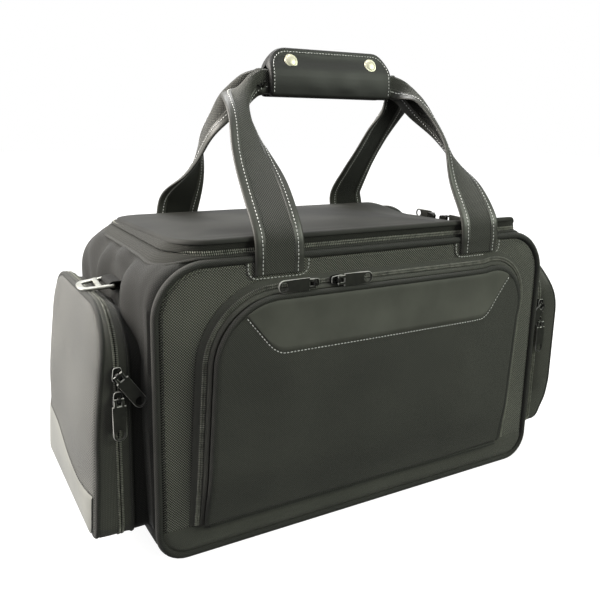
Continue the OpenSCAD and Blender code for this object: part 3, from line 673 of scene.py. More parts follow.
def make_lining():
    inset = 6.0
    radii = BASE_R - inset, TOP_R - inset
    path, normals = rounded(inset - HALF_W, HALF_W - inset, inset, BODY_H - inset, *radii, 6.0)
    keep = (path[:, 1] <= BODY_H - inset - 5) | (np.abs(path[:, 0]) >= MOUTH_X)
    path, normals = open_run(keep, path, normals)
    x, z, nx, nz = (part[:, None] for part in (*path.T, *normals.T))
    along = lengths(path)[:, None]
    y = np.linspace(-113.6, 113.6, 41)
    out = 0.9 * ripple(along, y, 70, 41) - 0.9
    x, z = x + nx * out, z + nz * out
    sink = settle(x + 4, y) * step(z, 200, 266)
    points = grid(x - 3 * sink, y, z - (SINK + 2) * sink)
    loop = thick("lining_loop", points, grid(-nx, 0, -nz), 0.8, LINING)
    dress(loop, "bag", ["lining"])
    cut()
    shape = (HALF_W - inset - 0.5, inset + 0.5, BODY_H - inset - 0.5, *radii)
    wide, high = 2 * shape[0], shape[2] - shape[1]
    corners = (1 - math.pi / 4) * 2 * (radii[0] ** 2 + radii[1] ** 2)
    for (name, place), seed in zip(FACES.items(), (42, 43)):
        def inner(x, z, d):
            return 111.9 - 0.8 * ripple(x, z, 80, seed) * step(d, 0, 30)
        piece = pillow(name + "_lining", shape, place, 113.2, inner, LINING, columns=40, rows=34)
        dress(piece, "bag")
        cut(wide * high - corners)


def board_top(x, y, d):
    return 6.6 + 1.9 * roll(d, 2.5) + 0.3 * ripple(x, y, 90, 44)


make_lining()
BOARD = (201.0, -113.0, 113.0, 8.0, 8.0)
dress(pillow("lined_floor_board", BOARD, flat_place, board_top, 5.4, LINING, columns=40, rows=30),
      "bag", ["floor_board"])


# Lid

LID_FALL = 8.5
LID_PANEL = (206.0, -117.0, 105.0, 34.0, 34.0)
lid_path, lid_normals = rounded(-LID_X, LID_X, LID_Y0, LID_Y1, LID_R, LID_R)


def joint_z(x, y):
    """Height of the line where the two halves of the lid's zip meet."""
    return JOINT_Z - SINK * settle(x, y)


def lid_z(x, y):
    """Height of the lid's upper edge: it falls towards the back and sinks at the right end."""
    fall = LID_FALL * np.clip((y - LID_Y0) / (LID_Y1 - LID_Y0), 0, 1)
    return LID_TOP - fall - (SINK + 2.5) * settle(x, y)


def lid_rim(x, y):
    return np.minimum(3.4, 0.45 * (lid_z(x, y) - joint_z(x, y)))


def flare_of(n):
    """How far the lower tape spreads outward before it meets the body."""
    return 1.5 + 8.0 * n[0] ** 2


def lower_tape(p, n):
    flare = flare_of(n)
    x, y = p + n * flare
    base, top = body_top(x, y) + 0.6, joint_z(*p) - 0.5
    inside, floor = 0.5 - LID_TAPE, BODY_H - SINK * settle(x, y)
    return [(flare, base - 1.4), (flare + 0.9, base + 0.3), (flare * 0.72 + 0.8, base + (top - base) * 0.45),
            (flare * 0.35 + 0.7, base + (top - base) * 0.8), (0.4, top), (-1.2, top + 0.1),
            (inside + 1.5, top - 2.0), (inside, floor - 3), (inside, floor - 7), (-2.0, base - 3.0)]


def upper_tape(p, n):
    low = joint_z(*p) + 0.5
    high = max(lid_z(*p) - lid_rim(*p) - 0.2, low + 0.8)
    lean = -4.5 * n[0] ** 2 + (1.8 if n[1] < 0 else -1.5) * n[1] ** 2
    rise = high - low
    return [(0.3, low), (0.8, low + 0.12 * rise), (0.6 + 0.3 * lean, low + 0.5 * rise), (lean, high),
            (lean - 3.0, high), (-4.0, low + 0.3 * rise), (-1.2, low)]


def lower_binding(p, n):
    flare = flare_of(n) + 0.6
    return disc(1.6, 8) + [flare, body_top(*(p + n * flare)) + 0.5]


def lid_top(x, y, d):
    """The lid's upper face: a low crown with two dents and a raised front edge."""
    crown = 2.2 * step(d, 0, 60) + 1.2 * np.exp(-((y + 106) / 8) ** 2) + 0.8 * ripple(x, y, 140, 51)
    crown -= 3.0 * np.exp(-((x + 115) / 60) ** 2 - ((y - 30) / 55) ** 2)
    crown -= 3.5 * np.exp(-((x - 120) / 70) ** 2 - ((y - 10) / 60) ** 2)
    return lid_z(x, y) - lid_rim(x, y) * (1 - roll(d, 3.0)) + crown * step(d, 1, 30)


def lid_under(x, y, d):
    room = step(lid_z(x, y) - joint_z(x, y), 4, 8)
    return lid_z(x, y) - lid_rim(x, y) - 0.9 - 1.2 * step(d, 4, 14) * room


def on_lid(out, lift):
    """Along the ends and the front: the zip stops short of the hinge."""
    edge, n = open_run(lid_normals[:, 1] < 0.6, lid_path, lid_normals)
    p = edge + n * (out - 3.6 * n[:, :1] ** 2)
    return grid(*p.T, joint_z(*edge.T) + lift), grid(*n.T, 0.25)


for name, section, material, body, slot, nodes in (
        ("lid_lower_tape", lower_tape, LID_BAND, "bag", "zip_tape", ["lid_zip"]),
        ("lid_upper_tape", upper_tape, LID_BAND, "lid", "zip_tape", ["lid_band"]),
        ("lid_lower_binding", lower_binding, FINE, "bag", "piping", ())):
    sharp = 35.0 if material is LID_BAND else 40.0
    dress(sweep(name, lid_path, lid_normals, section, flat_place, material, sharp=sharp), body, nodes)
dress(pillow("lid_top_panel", LID_PANEL, flat_place, lid_top, lid_under, LID_LEATHER, columns=96, rows=72),
      "lid", ["lid_panel"])
dress(coils("lid_lower_coil", on_lid(1.0, -1.1), 2.1, 2.0, PALE_TEETH_PAINTED_HIGHLIGHT), "bag")
dress(coils("lid_upper_coil", on_lid(1.2, 1.2), 2.1, 2.0, PALE_TEETH_PAINTED_HIGHLIGHT), "lid")


# Handles

# Rows up a strap's leg: shares of the way sideways, inward and up, and of the fold
STRAP = np.array([
    [0, 0, 0, 0], [0, 0.04, 0.13, 0], [0, 0.24, 0.34, 0], [0, 0.46, 0.54, 0.06], [0.06, 0.66, 0.72, 0.25],
    [0.22, 0.83, 0.86, 0.6], [0.55, 0.95, 0.96, 0.9], [1, 1, 1, 1], [1.25, 1, 1, 1]])
# How each leg hangs: twist in degrees, height share of its peak, sideways share and the heights it grows over
LEGS = {("front", -1): (45, 0.8, 0.10, 0.5, 0.85), ("front", 1): (48, 0.64, 0, 0, 1),
        ("back", -1): (66, 0.54, 0.16, 0, 0.3), ("back", 1): (15, 0.5, 0.18, 0, 0.15)}
# Shares of the width where the coated edge starts and where the seams run, and the points across the strap
EDGE_AT, SEAM_AT = 0.288, 0.345
HALF_SPAN = np.r_[np.linspace(0.26, 0, 7)[:-1], EDGE_AT, np.linspace(0.30, 0.42, 3), 0.46, 0.49, 0.5]
SPAN = np.sort(np.r_[-HALF_SPAN, 0, HALF_SPAN])
FOOT_X = {"front": SHIFT, "back": 0.0}


def catmull(rows, steps):
    """A smooth curve through rows of numbers."""
    out = []
    for i in range(len(rows) - 1):
        a, b, c, d = rows[max(i - 1, 0)], rows[i], rows[i + 1], rows[min(i + 2, len(rows) - 1)]
        for t in np.arange(steps) / steps:
            curve = (c - a) * t + (2 * a - 5 * b + 4 * c - d) * t * t + (3 * b - a - 3 * c + d) * t ** 3
            out.append(b + curve / 2)
    return np.array(out + [rows[-1]])


def strap_leg(label, side):
    """Rows up one leg: place, fold and twist, from below the foot to the grip."""
    twist, peak, aside, low, high = LEGS[label, side]
    twist = math.radians(twist) * (-side if label == "front" else side)
    foot, end = FOOT_X[label] + side * FOOT_SPACING / 2, SHIFT + side * (GRIP_W / 2 + 6.6)
    leg = [[foot, -STRAP_Y, z, 0, 0] for z in (262.5, 270.0)]
    for across, inward, up, fold in STRAP:
        share = across + aside * step(up, low, high) * max(1 - across, 0)
        turn = twist * step(up, peak - 0.42, peak) * (1 - step(up, 0.86, 1.0))
        leg.append([foot + (end - foot) * share, -STRAP_Y + (STRAP_Y - WEB_Y) * inward,
                    PIVOT_Z - 1.5 + (WEB_Z - PIVOT_Z + 1.5) * up, fold, turn])
    return leg


def strap_route(label):
    """Centre points, directions, outward normals and fold shares from one foot over the grip to the other."""
    fine = catmull(np.array(strap_leg(label, -1) + strap_leg(label, 1)[::-1]), 7)
    fold, turn = np.clip(fine[:, 3], 0, 1), fine[:, 4:]
    points = fine[:, :3] + grid(0, 0, fold * WEB_H / 2)
    tangent = unit(np.gradient(points, axis=0))
    rise = step(points[:, 2], 300, 440)
    normal = square_to(grid(0, rise - 1, rise), tangent)
    normal = normal * np.cos(turn) + np.cross(tangent, normal) * np.sin(turn)
    mirror = [1, 1 if label == "front" else -1, 1]
    return points * mirror, tangent * mirror, normal * mirror, fold


def fold_section(fold):
    """Points across the strap's middle surface: flat, curled, or folded double with the edges down."""
    s = np.linspace(-0.5, 0.5, 101) * STRAP_W
    half, tight = STRAP_W / 2, 3.2
    bend = half + (tight - half) * fold ** 0.6
    angle = fold * math.pi / 2 * np.clip(s / bend, -1, 1)
    at, found = SPAN * STRAP_W, []
    for part in (np.cos(angle), np.sin(angle)):
        run = np.r_[0, np.cumsum((part[1:] + part[:-1]) / 2 * np.diff(s))]
        found.append(np.interp(at, s, run - np.interp(0, s, run)))
    return found[0], -found[1], np.interp(at, s, angle)


def half_thickness(at):
    """Half the strap's thickness across its width: thicker coated edges, rounded at the rim."""
    edge = step(np.abs(at), EDGE_AT, 0.30)
    rim = np.sqrt(np.clip(1 - (np.clip(np.abs(at) - 0.455, 0, 0.045) / 0.045) ** 2, 0.02, 1))
    return (1.15 + 0.65 * edge) * rim


def make_strap(label):
    points, tangent, normal, fold = strap_route(label)
    half = half_thickness(SPAN)[:, None]
    seams = [int(np.argmin(np.abs(SPAN - at))) for at in (-SEAM_AT, SEAM_AT)]
    rows, sewn = [], []
    for p, a, n, f in zip(points, np.cross(normal, tangent), normal, fold):
        c, h, angle = fold_section(f)
        mid = p + np.outer(c, a) + np.outer(h, n)
        out = np.outer(np.sin(angle), a) + np.outer(np.cos(angle), n)
        upper, lower = mid + out * half, mid - out * half
        rows.append(np.concatenate([upper, lower[::-1]]))
        sewn.append([(upper[j], out[j], lower[j]) for j in seams])
    rows = np.array(rows)
    faces, uvs = lattice_data(rows, wrap_v=True, caps=True)
    nylon = np.abs(SPAN[1:] + SPAN[:-1]) / 2 < 0.29
    # Index 2 puts the darker cloth on the strap's underside: painted shade.
    strip = np.r_[np.where(nylon, 0, 1), 1, np.where(nylon[::-1], 2, 1), 1]
    marks = np.r_[np.tile(strip, len(rows) - 1), 1, 1]
    cloths = [STRAP_NYLON, EDGE_LEATHER, PAINTED_SHADE_STRAP_UNDERSIDE]
    strap = build(label + "_handle_strap", rows.reshape(-1, 3), faces, cloths, uvs, 40.0, marks)
    runs = []
    for top, out, low in np.array(sewn).transpose(1, 2, 0, 3):
        runs += [(top, out), (low, -out)]
    for piece in (strap, stitches(label + "_handle_stitching", runs)):
        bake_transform(piece)
    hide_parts(label + "_strap", label + "_feet")


# A patch's half width, lower edge and height, and how far in its seam runs
PATCH_X, PATCH_Z0, PATCH_H, PATCH_SEAM = 33.0, 257.2, 18.3, 2.0


def patch_face(a, b, d):
    return HALF_D + 0.2 + 0.9 * roll(d, 1.2)


def make_patch(label, side):
    """The sewn patch under one strap's foot, with stitches down its sides and along its lower edge."""
    place = FACES[label]
    x = FOOT_X[label] + side * FOOT_SPACING / 2
    top = PATCH_Z0 + PATCH_H
    shape = (PATCH_X, PATCH_Z0, top, 9.0, 2.0)
    piece = pillow(f"{label}_patch_{ENDS[side]}", shape, place, patch_face, HALF_D - 0.6, NYLON, x, 30, 18)
    dress(piece, "bag", [label + "_patches"])
    cut()
    reach = PATCH_X - PATCH_SEAM
    path, _ = rounded(x - reach, x + reach, PATCH_Z0 + 1.4, 300, 9.0, 2.0, 2.0)
    run, = open_run(path[:, 1] < top - 0.5, path)
    seam = grid(*place(*run.T, HALF_D + 1.2))
    sew(f"{label}_patch_stitching_{ENDS[side]}", seam, place(0, 0, 1), "bag", "nylon")


for label in FACES:
    make_strap(label)
    for side in ENDS:
        make_patch(label, side)


# Grip

def leaf_face(z):
    lower = LEAF_OUT + 1.2 * np.sin(math.pi * np.clip((z - LEAF_BOTTOM) / (WEB_TOP - LEAF_BOTTOM), 0, 1))
    upper = LEAF_OUT + (LEAF_EDGE - LEAF_OUT) * step(z, WEB_TOP - 3, LEAF_TOP - 4)
    return np.where(z < WEB_TOP - 3, lower, np.minimum(lower, upper))


def leaf_edge(z, d):
    return leaf_face(z) - 2.2 + 2.2 * roll(d, 3.5)


def leaf_outer(x, z, d):
    return leaf_edge(z, d) + 0.35 * ripple(x, z, 40, 61) * step(d, 3, 12)


def leaf_inner(x, z, d):
    meet = 0.18
    return meet + (LEAF_IN - meet) * (1 - step(z, WEB_TOP - 1, WEB_TOP + 6))


def make_leaf(label, body):
    place, inset = FACES[label], 4.0
    shape = (GRIP_W / 2, LEAF_BOTTOM, LEAF_TOP, 5.0, LEAF_R)
    leaf = pillow(f"grip_{label}_leaf", shape, place, leaf_outer, leaf_inner, GRIP_LEATHER, SHIFT, 64, 40)
    dress(leaf, body, ["grip_" + label])
    reach = GRIP_W / 2 - inset
    sides, radii = (SHIFT - reach, SHIFT + reach), (2.0, LEAF_R - inset)
    path, _ = rounded(*sides, LEAF_BOTTOM - 20, LEAF_TOP - inset, *radii, 2.0)
    x, z = path[path[:, 1] > LEAF_BOTTOM + 2].T
    seam = grid(*place(x, z, leaf_edge(z, inset)))
    sew(f"grip_{label}_stitching", seam, place(0, 0.35, 1), body, "leather")


make_leaf("front", "grip_flap")
make_leaf("back", "back_handle")

# A snap cap's (radius, height) pairs
CAP = [(6.6, -1.0), (7.4, -0.4), (7.5, 0.5), (7.1, 1.1), (6.3, 1.3), (5.9, 1.25), (5.6, 1.45),
       (4.2, 2.0), (2.2, 2.35), (0.5, 2.42)]
SNAP_X, SNAP_Z = 50.0, WEB_TOP + 10.0


def make_cap(key, x):
    """A turned cap, square to the grip's slope."""
    slope = math.atan2(LEAF_OUT - LEAF_EDGE, LEAF_TOP - WEB_TOP)
    axis = Vector((0, -math.cos(slope), math.sin(slope)))
    side = axis.orthogonal().normalized()
    ring = disc(1.0, 28) @ np.array([side, axis.cross(side)])
    centre = np.array([SHIFT + x, -leaf_face(SNAP_Z), SNAP_Z])
    rows = np.array([centre + np.array(axis) * h + ring * r for r, h in CAP])
    cap = lattice("snap_cap_" + key, rows, SNAP, wrap_v=True, caps=True, sharp=35.0)
    dress(cap, "grip_flap", ["snap_caps"])


make_cap("a", -SNAP_X)
make_cap("b", SNAP_X)


# Front pocket

ARCH_X = COVER_X - 2.0
CORNER_X, CORNER_Z = ARCH_X - COVER_R, COVER_TOP - COVER_R
COVER = (ARCH_X - 1.0, BAND_H + 0.35, COVER_TOP - 1.0, 3.0, COVER_R - 1.0)
# Sections of the piping and of the two tapes beside the zip: (outward, level) pairs
ARCH_PIPING = disc(2.9, 14) + [-2.6, 134.6]
OUTER_TAPE = [(12.0, 119.5), (12.2, 121.4), (11.4, 122.4), (9.6, 123.8), (7.9, 125.3), (7.3, 126.2),
              (6.6, 126.4), (6.2, 125.6), (4, 123.0), (4, 119.5)]
INNER_TAPE = [(4.6, 125.6), (5.0, 126.6), (4.4, 127.3), (3.6, 127.2), (3.4, 128.4), (2.6, 129.8),
              (1.2, 131.0), (0.2, 131.2), (-0.4, 130.4), (-3.0, 130.0), (-3.0, 127.0), (2.0, 125.6)]


def pocket_place(a, b, level):
    """Leans to the right, thins to the foot and right side, and swells at the upper right corner."""
    thin = (0.55 + 0.45 * step(b, BAND_H, 85)) * (1 - 0.38 * step(a, 90, 190))
    over, above = np.clip(a - CORNER_X, 0, None), np.clip(b - CORNER_Z, 0, None)
    push = 14.0 / COVER_R ** 2 * over * above / np.maximum(np.hypot(over, above), 1e-6)
    lean = 9.0 * (b - BAND_H) / 175.0 - 3.0
    return a + push * over + lean, -HALF_D - (level - HALF_D) * thin, b + push * above


def cover_arch():
    """The pocket's outline: up the right side, over the top and down the left."""
    foot = BAND_H + 1.0
    path, normals = rounded(-ARCH_X, ARCH_X, foot - 200, COVER_TOP, 1.0, COVER_R)
    above = path[:, 1] > foot
    path, normals = path[above], normals[above]
    return np.r_[[[ARCH_X, foot]], path, [[-ARCH_X, foot]]], np.r_[normals[:1], normals, normals[-1:]]


arch_path, arch_normals = cover_arch()


def on_arch(out, level):
    return (grid(*pocket_place(*(arch_path + arch_normals * out).T, level)),
            grid(*front_place(*(arch_normals * 0.4).T, 1.0)))


def cover_face(x, z):
    d = depth_inside(x, z, *COVER)
    return 133.2 + 4.0 * roll(d, 6) + 4.6 * step(d, 5, 90) + 0.7 * ripple(x, z, 150, 71) * step(d, 8, 60)


for name, section, material, sharp, body, slot, nodes in (
        ("outer_tape", OUTER_TAPE, TAPE, 30.0, "bag", "zip_tape", ["front_zip"]),
        ("inner_tape", INNER_TAPE, TAPE, 30.0, "front_pocket", "zip_tape", ()),
        ("piping", ARCH_PIPING, FINE, 40.0, "front_pocket", "piping", ["front_cover_piping"])):
    made = sweep("front_pocket_" + name, arch_path, arch_normals, section, pocket_place, material,
                 closed=False, sharp=sharp)
    dress(made, body, nodes)
dress(coils("front_pocket_outer_coil", on_arch(7.0, 126.7)), "bag")
dress(coils("front_pocket_inner_coil", on_arch(4.9, 127.3)), "front_pocket")
dress(pillow("front_pocket_panel", COVER, pocket_place, lambda x, z, d: cover_face(x, z), 131.6, COVER_NYLON,
             columns=90, rows=70), "front_pocket", ["front_cover"])
POCKET_FLOOR = (181.0, 117.0, 126.0, 2.0, 2.0)
pocket_floor = pillow("front_pocket_floor", POCKET_FLOOR, lambda a, b, level: (a - 3, -b, level),
                      lambda x, z, d: 30.6 + 1.2 * roll(d, 2), 28.2, FINE, columns=40, rows=10)
dress(pocket_floor, "bag", ["front_floor"])

# The yoke's half width, and its lower edge: height, where its ends start to slant, how steeply and how softly
YOKE_X, YOKE_Z, SLANT_X, SLANT, SOFT = 165.0, 194.0, 128.0, 38.0 / 32.0, 10.0


def yoke_edge(x):
    """Height of the yoke's lower edge: straight with slanting ends and soft corners."""
    past = np.abs(x) - SLANT_X
    soft = (past + SOFT) ** 2 / (4 * SOFT)
    return YOKE_Z + SLANT * np.where(np.abs(past) < SOFT, soft, np.clip(past, 0, None))


def make_yoke():
    """The leather-look yoke laid on the cover's upper part, stitched along its lower edge."""
    inset = COVER_R - 4.6
    x = YOKE_X * eased(121, 0.25)
    over = np.clip(np.abs(x) - CORNER_X, 0, inset - 0.01)
    high = CORNER_Z + np.sqrt(inset ** 2 - over ** 2)
    low = np.minimum(yoke_edge(x), high - 0.5)
    tall = high - low
    X, rise = x[:, None], tall[:, None] * np.linspace(0, 1, 22)
    Z = low[:, None] + rise
    level = cover_face(X, Z) + 0.25 + 1.15 * roll(rise, 2.0)
    yoke = thick("front_pocket_yoke", grid(*pocket_place(X, Z, level)), (0, 1, 0), 1.0, LEATHER)
    dress(yoke, "front_pocket", ["front_yoke"])
    area = (tall[1:] * np.diff(x)).sum()
    cut(area)
    z = yoke_edge(x) - 1.8
    seam = grid(*pocket_place(x, z, cover_face(x, z) + 0.1))[z < high - 1.0]
    sew("front_pocket_yoke_stitching", seam, (0, -1, 0), "front_pocket", "leather")


make_yoke()


# End pockets

def recede_full(z):
    """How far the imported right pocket's face leans back towards the body, at its top and its foot."""
    return 14.0 * step(z, 172, 236) + 11.0 * (1 - step(z, 26, 64))


def recede_slack(z):
    """The left pocket is slack at its top and stands out a little at its foot."""
    return 10.0 * step(z, 110, 245) - 3.0 * (1 - step(z, 30, 110))


def make_end(side, full, recede):
    label = ENDS[side]
    name, cover = label + "_pocket_", label + "_pocket_cover"
    face_x = END_FACE + 8.0 * full
    path, normals = rounded(-END_Y, END_Y, END_Z0, END_Z1, END_FOOT_R, END_R + 6.0)
    shape = (END_Y - 1.5, END_Z0 + 1.5, END_Z1 - 1.5, END_FOOT_R - 1.5, END_R + 4.5)

    def place(a, b, level):
        """The wall's top slopes down to the body, and a full pocket's sides bulge."""
        bulge = full * step(level, 260, 274) * step(b, 40, 90) * (1 - step(b, 185, 235))
        drop = 0.6 * np.clip(262.0 - level, 0, 30) * step(b, 150, 238)
        return side * level, -side * a * (1 + 0.05 * bulge), b - drop

    def wall(p, n):
        root = HALF_W - 4.0
        if p[1] > BODY_H - TOP_R:
            root -= TOP_R - math.sqrt(TOP_R ** 2 - (p[1] - BODY_H + TOP_R) ** 2)
        sag = 1.2 * math.sin(p[0] / 31.0) * (n[1] > 0.5)
        return [(0, root), (0.3 + sag * 0.3, (root + END_ZIP_X) / 2), (-0.6, END_ZIP_X - 9.0),
                (-0.4, END_ZIP_X - 3.0), (-1.6, END_ZIP_X - 2.4), (-3.5, END_ZIP_X - 3.0), (-3.5, root)]

    def outer_tape(p, n):
        edge = face_x - 5.0 - recede(p[1])
        middle = (END_ZIP_X + edge) / 2
        return [(0.2, END_ZIP_X + 0.4), (0.9, END_ZIP_X + 1.0), (1.0, middle), (0.6, edge),
                (-0.5, edge + 2.0), (-3.0, edge + 1.0), (-3.0, middle), (-1.0, END_ZIP_X + 0.8)]

    def cover_piping(p, n):
        return disc(2.7, 12) + [-2.0, face_x - 2.4 - recede(p[1])]

    def face(a, b):
        d = depth_inside(a, b, *shape)
        dome = (7.5 - 4.0 * full) * roll(d, 48) + 0.8 * ripple(a, b, 110, 81 + side) * step(d, 6, 40)
        return face_x - 5.0 + 3.4 * roll(d, 5) + dome - recede(b)
    inner_tape = np.array([(-0.5, -10), (0.5, -10.4), (1.1, -9.2), (0.7, -6), (0.9, -1.0), (0.2, -0.4),
                           (-1.2, -0.8), (-1.2, -8)]) + [0, END_ZIP_X]
    wall_piping = disc(1.7, 8) + [0.5, END_ZIP_X - 10.6]
    for piece, section, material, body, slot, nodes, padded in (
            ("wall", wall, PAINTED_SHADE_WALL_CLOTH, "bag", "nylon", [label + "_pocket"], 0.4),
            ("inner_tape", inner_tape, TAPE, "bag", "zip_tape", [label + "_zip"], None),
            ("outer_tape", outer_tape, TAPE, cover, "zip_tape", (), None),
            ("wall_piping", wall_piping, FINE, "bag", "piping", (), None),
            ("piping", cover_piping, FINE, cover, "piping", [label + "_cover_piping"], None)):
        sharp = 40.0 if material is FINE else 35.0
        made = sweep(name + piece, path, normals, section, place, material, sharp=sharp)
        dress(made, body, nodes)
    for piece, off, body in (("inner_coil", -1.5, "bag"), ("outer_coil", 1.5, cover)):
        line = grid(*place(*(path + 0.8 * normals).T, END_ZIP_X + off))
        facing = grid(0, -side * normals[:, 0], normals[:, 1])
        run = [np.r_[part, part[:1]] for part in (line, facing)]
        dress(coils(name + piece, run), body)

    lip = min(END_FACE - 1.4, face_x - recede(END_Z0) - 4.0)
    reach = np.linspace(END_ZIP_X - 6.0, lip, 12)[:, None]
    wide = np.linspace(-1, 1, 41) * (END_Y - END_FOOT_R)
    under = grid(side * reach, wide, END_Z0 - 0.9 - 0.5 * roll(lip - reach, 4))
    dress(thick(name + "hinge_strip", under, (0, 0, -1), 0.9, FINE), "bag")

    made = pillow(name + "face", shape, place, lambda a, b, d: face(a, b),
                  lambda a, b, d: face_x - 7.5 - recede(b), PAINTED_LIGHT_POCKET_CLOTH, columns=64, rows=64)
    dress(made, cover, [label + "_cover"])

    inset = 5.5
    y, r = (END_Y - inset) * eased(61, 0.3), END_FOOT_R - inset
    past = np.clip(np.abs(y) - (END_Y - END_FOOT_R), 0, r)
    low = END_Z0 + END_FOOT_R - np.sqrt(np.maximum(r ** 2 - past ** 2, 0))
    high = 70.0 + 19.0 * step(-side * y, -80, 70)
    Y, Z = y[:, None], low[:, None] + (high - low)[:, None] * np.linspace(0, 1, 16)
    level = face(Y, Z) + 0.2 + 1.1 * roll(high[:, None] - Z, 2.0)
    trim = thick(name + "trim", grid(*place(Y, Z, level)), (-side, 0, 0), 0.9, TRIM_LEATHER)
    dress(trim, cover, [label + "_trim"])
    area = ((high - low)[1:] * np.diff(y)).sum()
    cut(area)
    z = high + 1.5
    seam = grid(*place(y, z, face(y, z) + 0.2))
    sew(name + "trim_stitching", seam, (side, 0, 0), cover, "leather", BLACK_THREAD)


make_end(-1, 0.0, recede_slack)
make_end(1, 1.0, recede_full)


# Zip sliders and pulls

SLIDER_L, SLIDER_FRONT, SLIDER_REAR, SLIDER_T = 6.5, 5.0, 3.7, 4.5
BAR_Z, BAR_Y, BRIDGE_R, BRIDGE_W = 7.05, 4.4, 1.75, 2.8
PULL_L, PULL_W, PULL_T, PULL_HOLE, WINDOW, PULL_BEVEL = 38.0, 12.0, 1.8, 8.0, 5.7, 0.6


def merge(name, parts, material):
    """One mesh from several tubes of points, each (points, closed on itself, rows in the second material)."""
    verts, faces, uvs, marks = [], [], [], []
    for points, ring, pale in parts:
        found, corners = lattice_data(points, ring, True, len(verts), not ring)
        caps = 0 if ring else 2
        marks += [int(k // points.shape[1] in pale) for k in range(len(found) - caps)] + [0] * caps
        faces += found
        uvs += corners
        verts += points.reshape(-1, 3).tolist()
    return build(name, verts, faces, material, uvs, 35.0, marks)


def slab(outline, z0, z1, bevel, pale=()):
    """A plate with softened edges from a plane outline about its own middle."""
    mid = outline.mean(0)
    away = outline - mid
    shrink = 1 - bevel / np.linalg.norm(away, axis=1)[:, None]
    rows = [grid(*(mid + away * scale).T, z)
            for z, scale in ((z0, shrink), (z0 + bevel, 1.0), (z1 - bevel, 1.0), (z1, shrink))]
    return np.array(rows), False, pale


def slider_parts(turn):
    """A slider's two wings, the post between them and the bridge that holds the pull."""
    a = np.linspace(0, math.tau, 40, endpoint=False)
    x, y = (np.sign(part) * np.abs(part) ** 0.45 for part in (np.cos(a), np.sin(a)))
    shape = grid(SLIDER_L * x, (SLIDER_REAR + (SLIDER_FRONT - SLIDER_REAR) * (x + 1) / 2) * y)
    b = np.linspace(0, math.pi, 15)
    arc = np.r_[[[BRIDGE_R, 0, SLIDER_T - 0.3]], grid(np.cos(b) * BRIDGE_R, 0, BAR_Z + np.sin(b) * BRIDGE_R),
                [[-BRIDGE_R, 0, SLIDER_T - 0.3]]]
    ends = np.r_[arc[:1], arc, arc[-1:]]
    along = unit(ends[2:] - ends[:-2])
    away = grid(along[:, 2], 0, -along[:, 0]) * 0.45
    half = [(-1, -0.6), (-0.85, -1), (0.85, -1), (1, -0.6)]
    ring = np.array(half + [(-w, -o) for w, o in half])
    bridge = arc[:, None] + away[:, None] * ring[:, 1:] + grid(0, ring[:, 0] * BRIDGE_W / 2, 0)
    bridge = bridge @ np.array(Matrix.Rotation(turn, 3, "Z")).T
    return [slab(shape, 0.05, 1.5, 0.35), slab(shape * [0.55, 0.45], 1.4, 3.2, 0.1),
            slab(shape, 3.0, SLIDER_T, 0.5, (2,)), (bridge, False, ())]


def pull_parts():
    """A pull's plate with its hole, its two arms and the bar between them."""
    hole, r, b, top = np.array([PULL_L - PULL_W / 2, 0.0]), PULL_HOLE / 2, PULL_BEVEL, PULL_T / 2
    ray = disc(1.0, 56)
    reach = np.array([PULL_W / 2 if c >= 0 else min((hole[0] - WINDOW) / -c, PULL_W / 2 / max(abs(s), 1e-6))
                      for c, s in ray])
    half = [(r, b - top), (r + b, -top), (reach - b, -top), (reach, b - top)]
    section = half + [(out, -z) for out, z in half[::-1]]
    rows = [grid(*(hole + ray * np.reshape(out, (-1, 1))).T, BAR_Z + z) for out, z in section]
    parts = [(np.array(rows), True, (2, 3, 4))]
    for y in (2.1, -BAR_Y):
        t = np.array([(-1.0, y), (WINDOW + 1.0, y), (WINDOW + 1.0, y + 2.3), (-1.0, y + 2.3)])
        outline = np.concatenate([np.linspace(t[k - 1], t[k], 5, endpoint=False) for k in (1, 2, 3, 0)])
        parts.append(slab(outline, BAR_Z - top, BAR_Z + top, 0.3, (1, 2)))
    x, z = disc(1.0, 12).T
    parts.append((np.array([grid(x, y, BAR_Z + z) for y in (-BAR_Y, BAR_Y)]), False, ()))
    return parts


def seated(parts, place, face, turn, side):
    """Moves parts from lying on Z = 0 to their seat: a turn, the seat's facing, its place, then its end."""
    turns = ((face[1], "Z"), (face[0], "X"), (turn, "Z"))
    first, second, third = (Matrix.Rotation(math.radians(angle), 3, axis) for angle, axis in turns)
    m = np.array(first @ second @ third)
    return [((p @ m.T + np.array(place)) * [side, 1, 1], *rest) for p, *rest in parts]


# Seats of each zip's two sliders: places, facing, turns of sliders and pulls, and leans of the bridges
FRONT, RIGHT = (90, 0), (90, 90)
LID_SEATS = [(LID_X + 0.35, y, joint_z(LID_X, y) + 4.0) for y in (30.0, 54.0)]
FRONT_SEATS = [(x, -128.35, 252.7) for x in (-82.0, -56.0)]
END_SEATS = [(-END_ZIP_X, -END_Y - 0.35, z) for z in (184.0, 162.0)]
for label, side, places, facing, turns, pull_turns, leans in (
        ("lid", 1, LID_SEATS, RIGHT, (180, 0), (180, 0), (0, 0)),
        ("front", 1, FRONT_SEATS, FRONT, (180, 0), (180, 0), (0, 0)),
        ("left", 1, END_SEATS, FRONT, (-90, -90), (-55, -90), (35, 0)),
        ("right", -1, END_SEATS, FRONT, (-90, -90), (-55, -90), (35, 0))):
    for k, key in enumerate("ab"):
        slider, pull = f"{label}_slider_{key}", f"{label}_pull_{key}"
        for node, parts, turn, enamel in ((slider, slider_parts(math.radians(leans[k])), turns[k], GLOSS),
                                          (pull, pull_parts(), pull_turns[k], PULL_BLACK)):
            parts = seated(parts, places[k], facing, turn, side)
            # Rim rows take the second material, a painted highlight.
            dress(merge(node + "_fitting", parts, [enamel, PAINTED_RIM_HIGHLIGHT]), node, [node])


# Strap rings

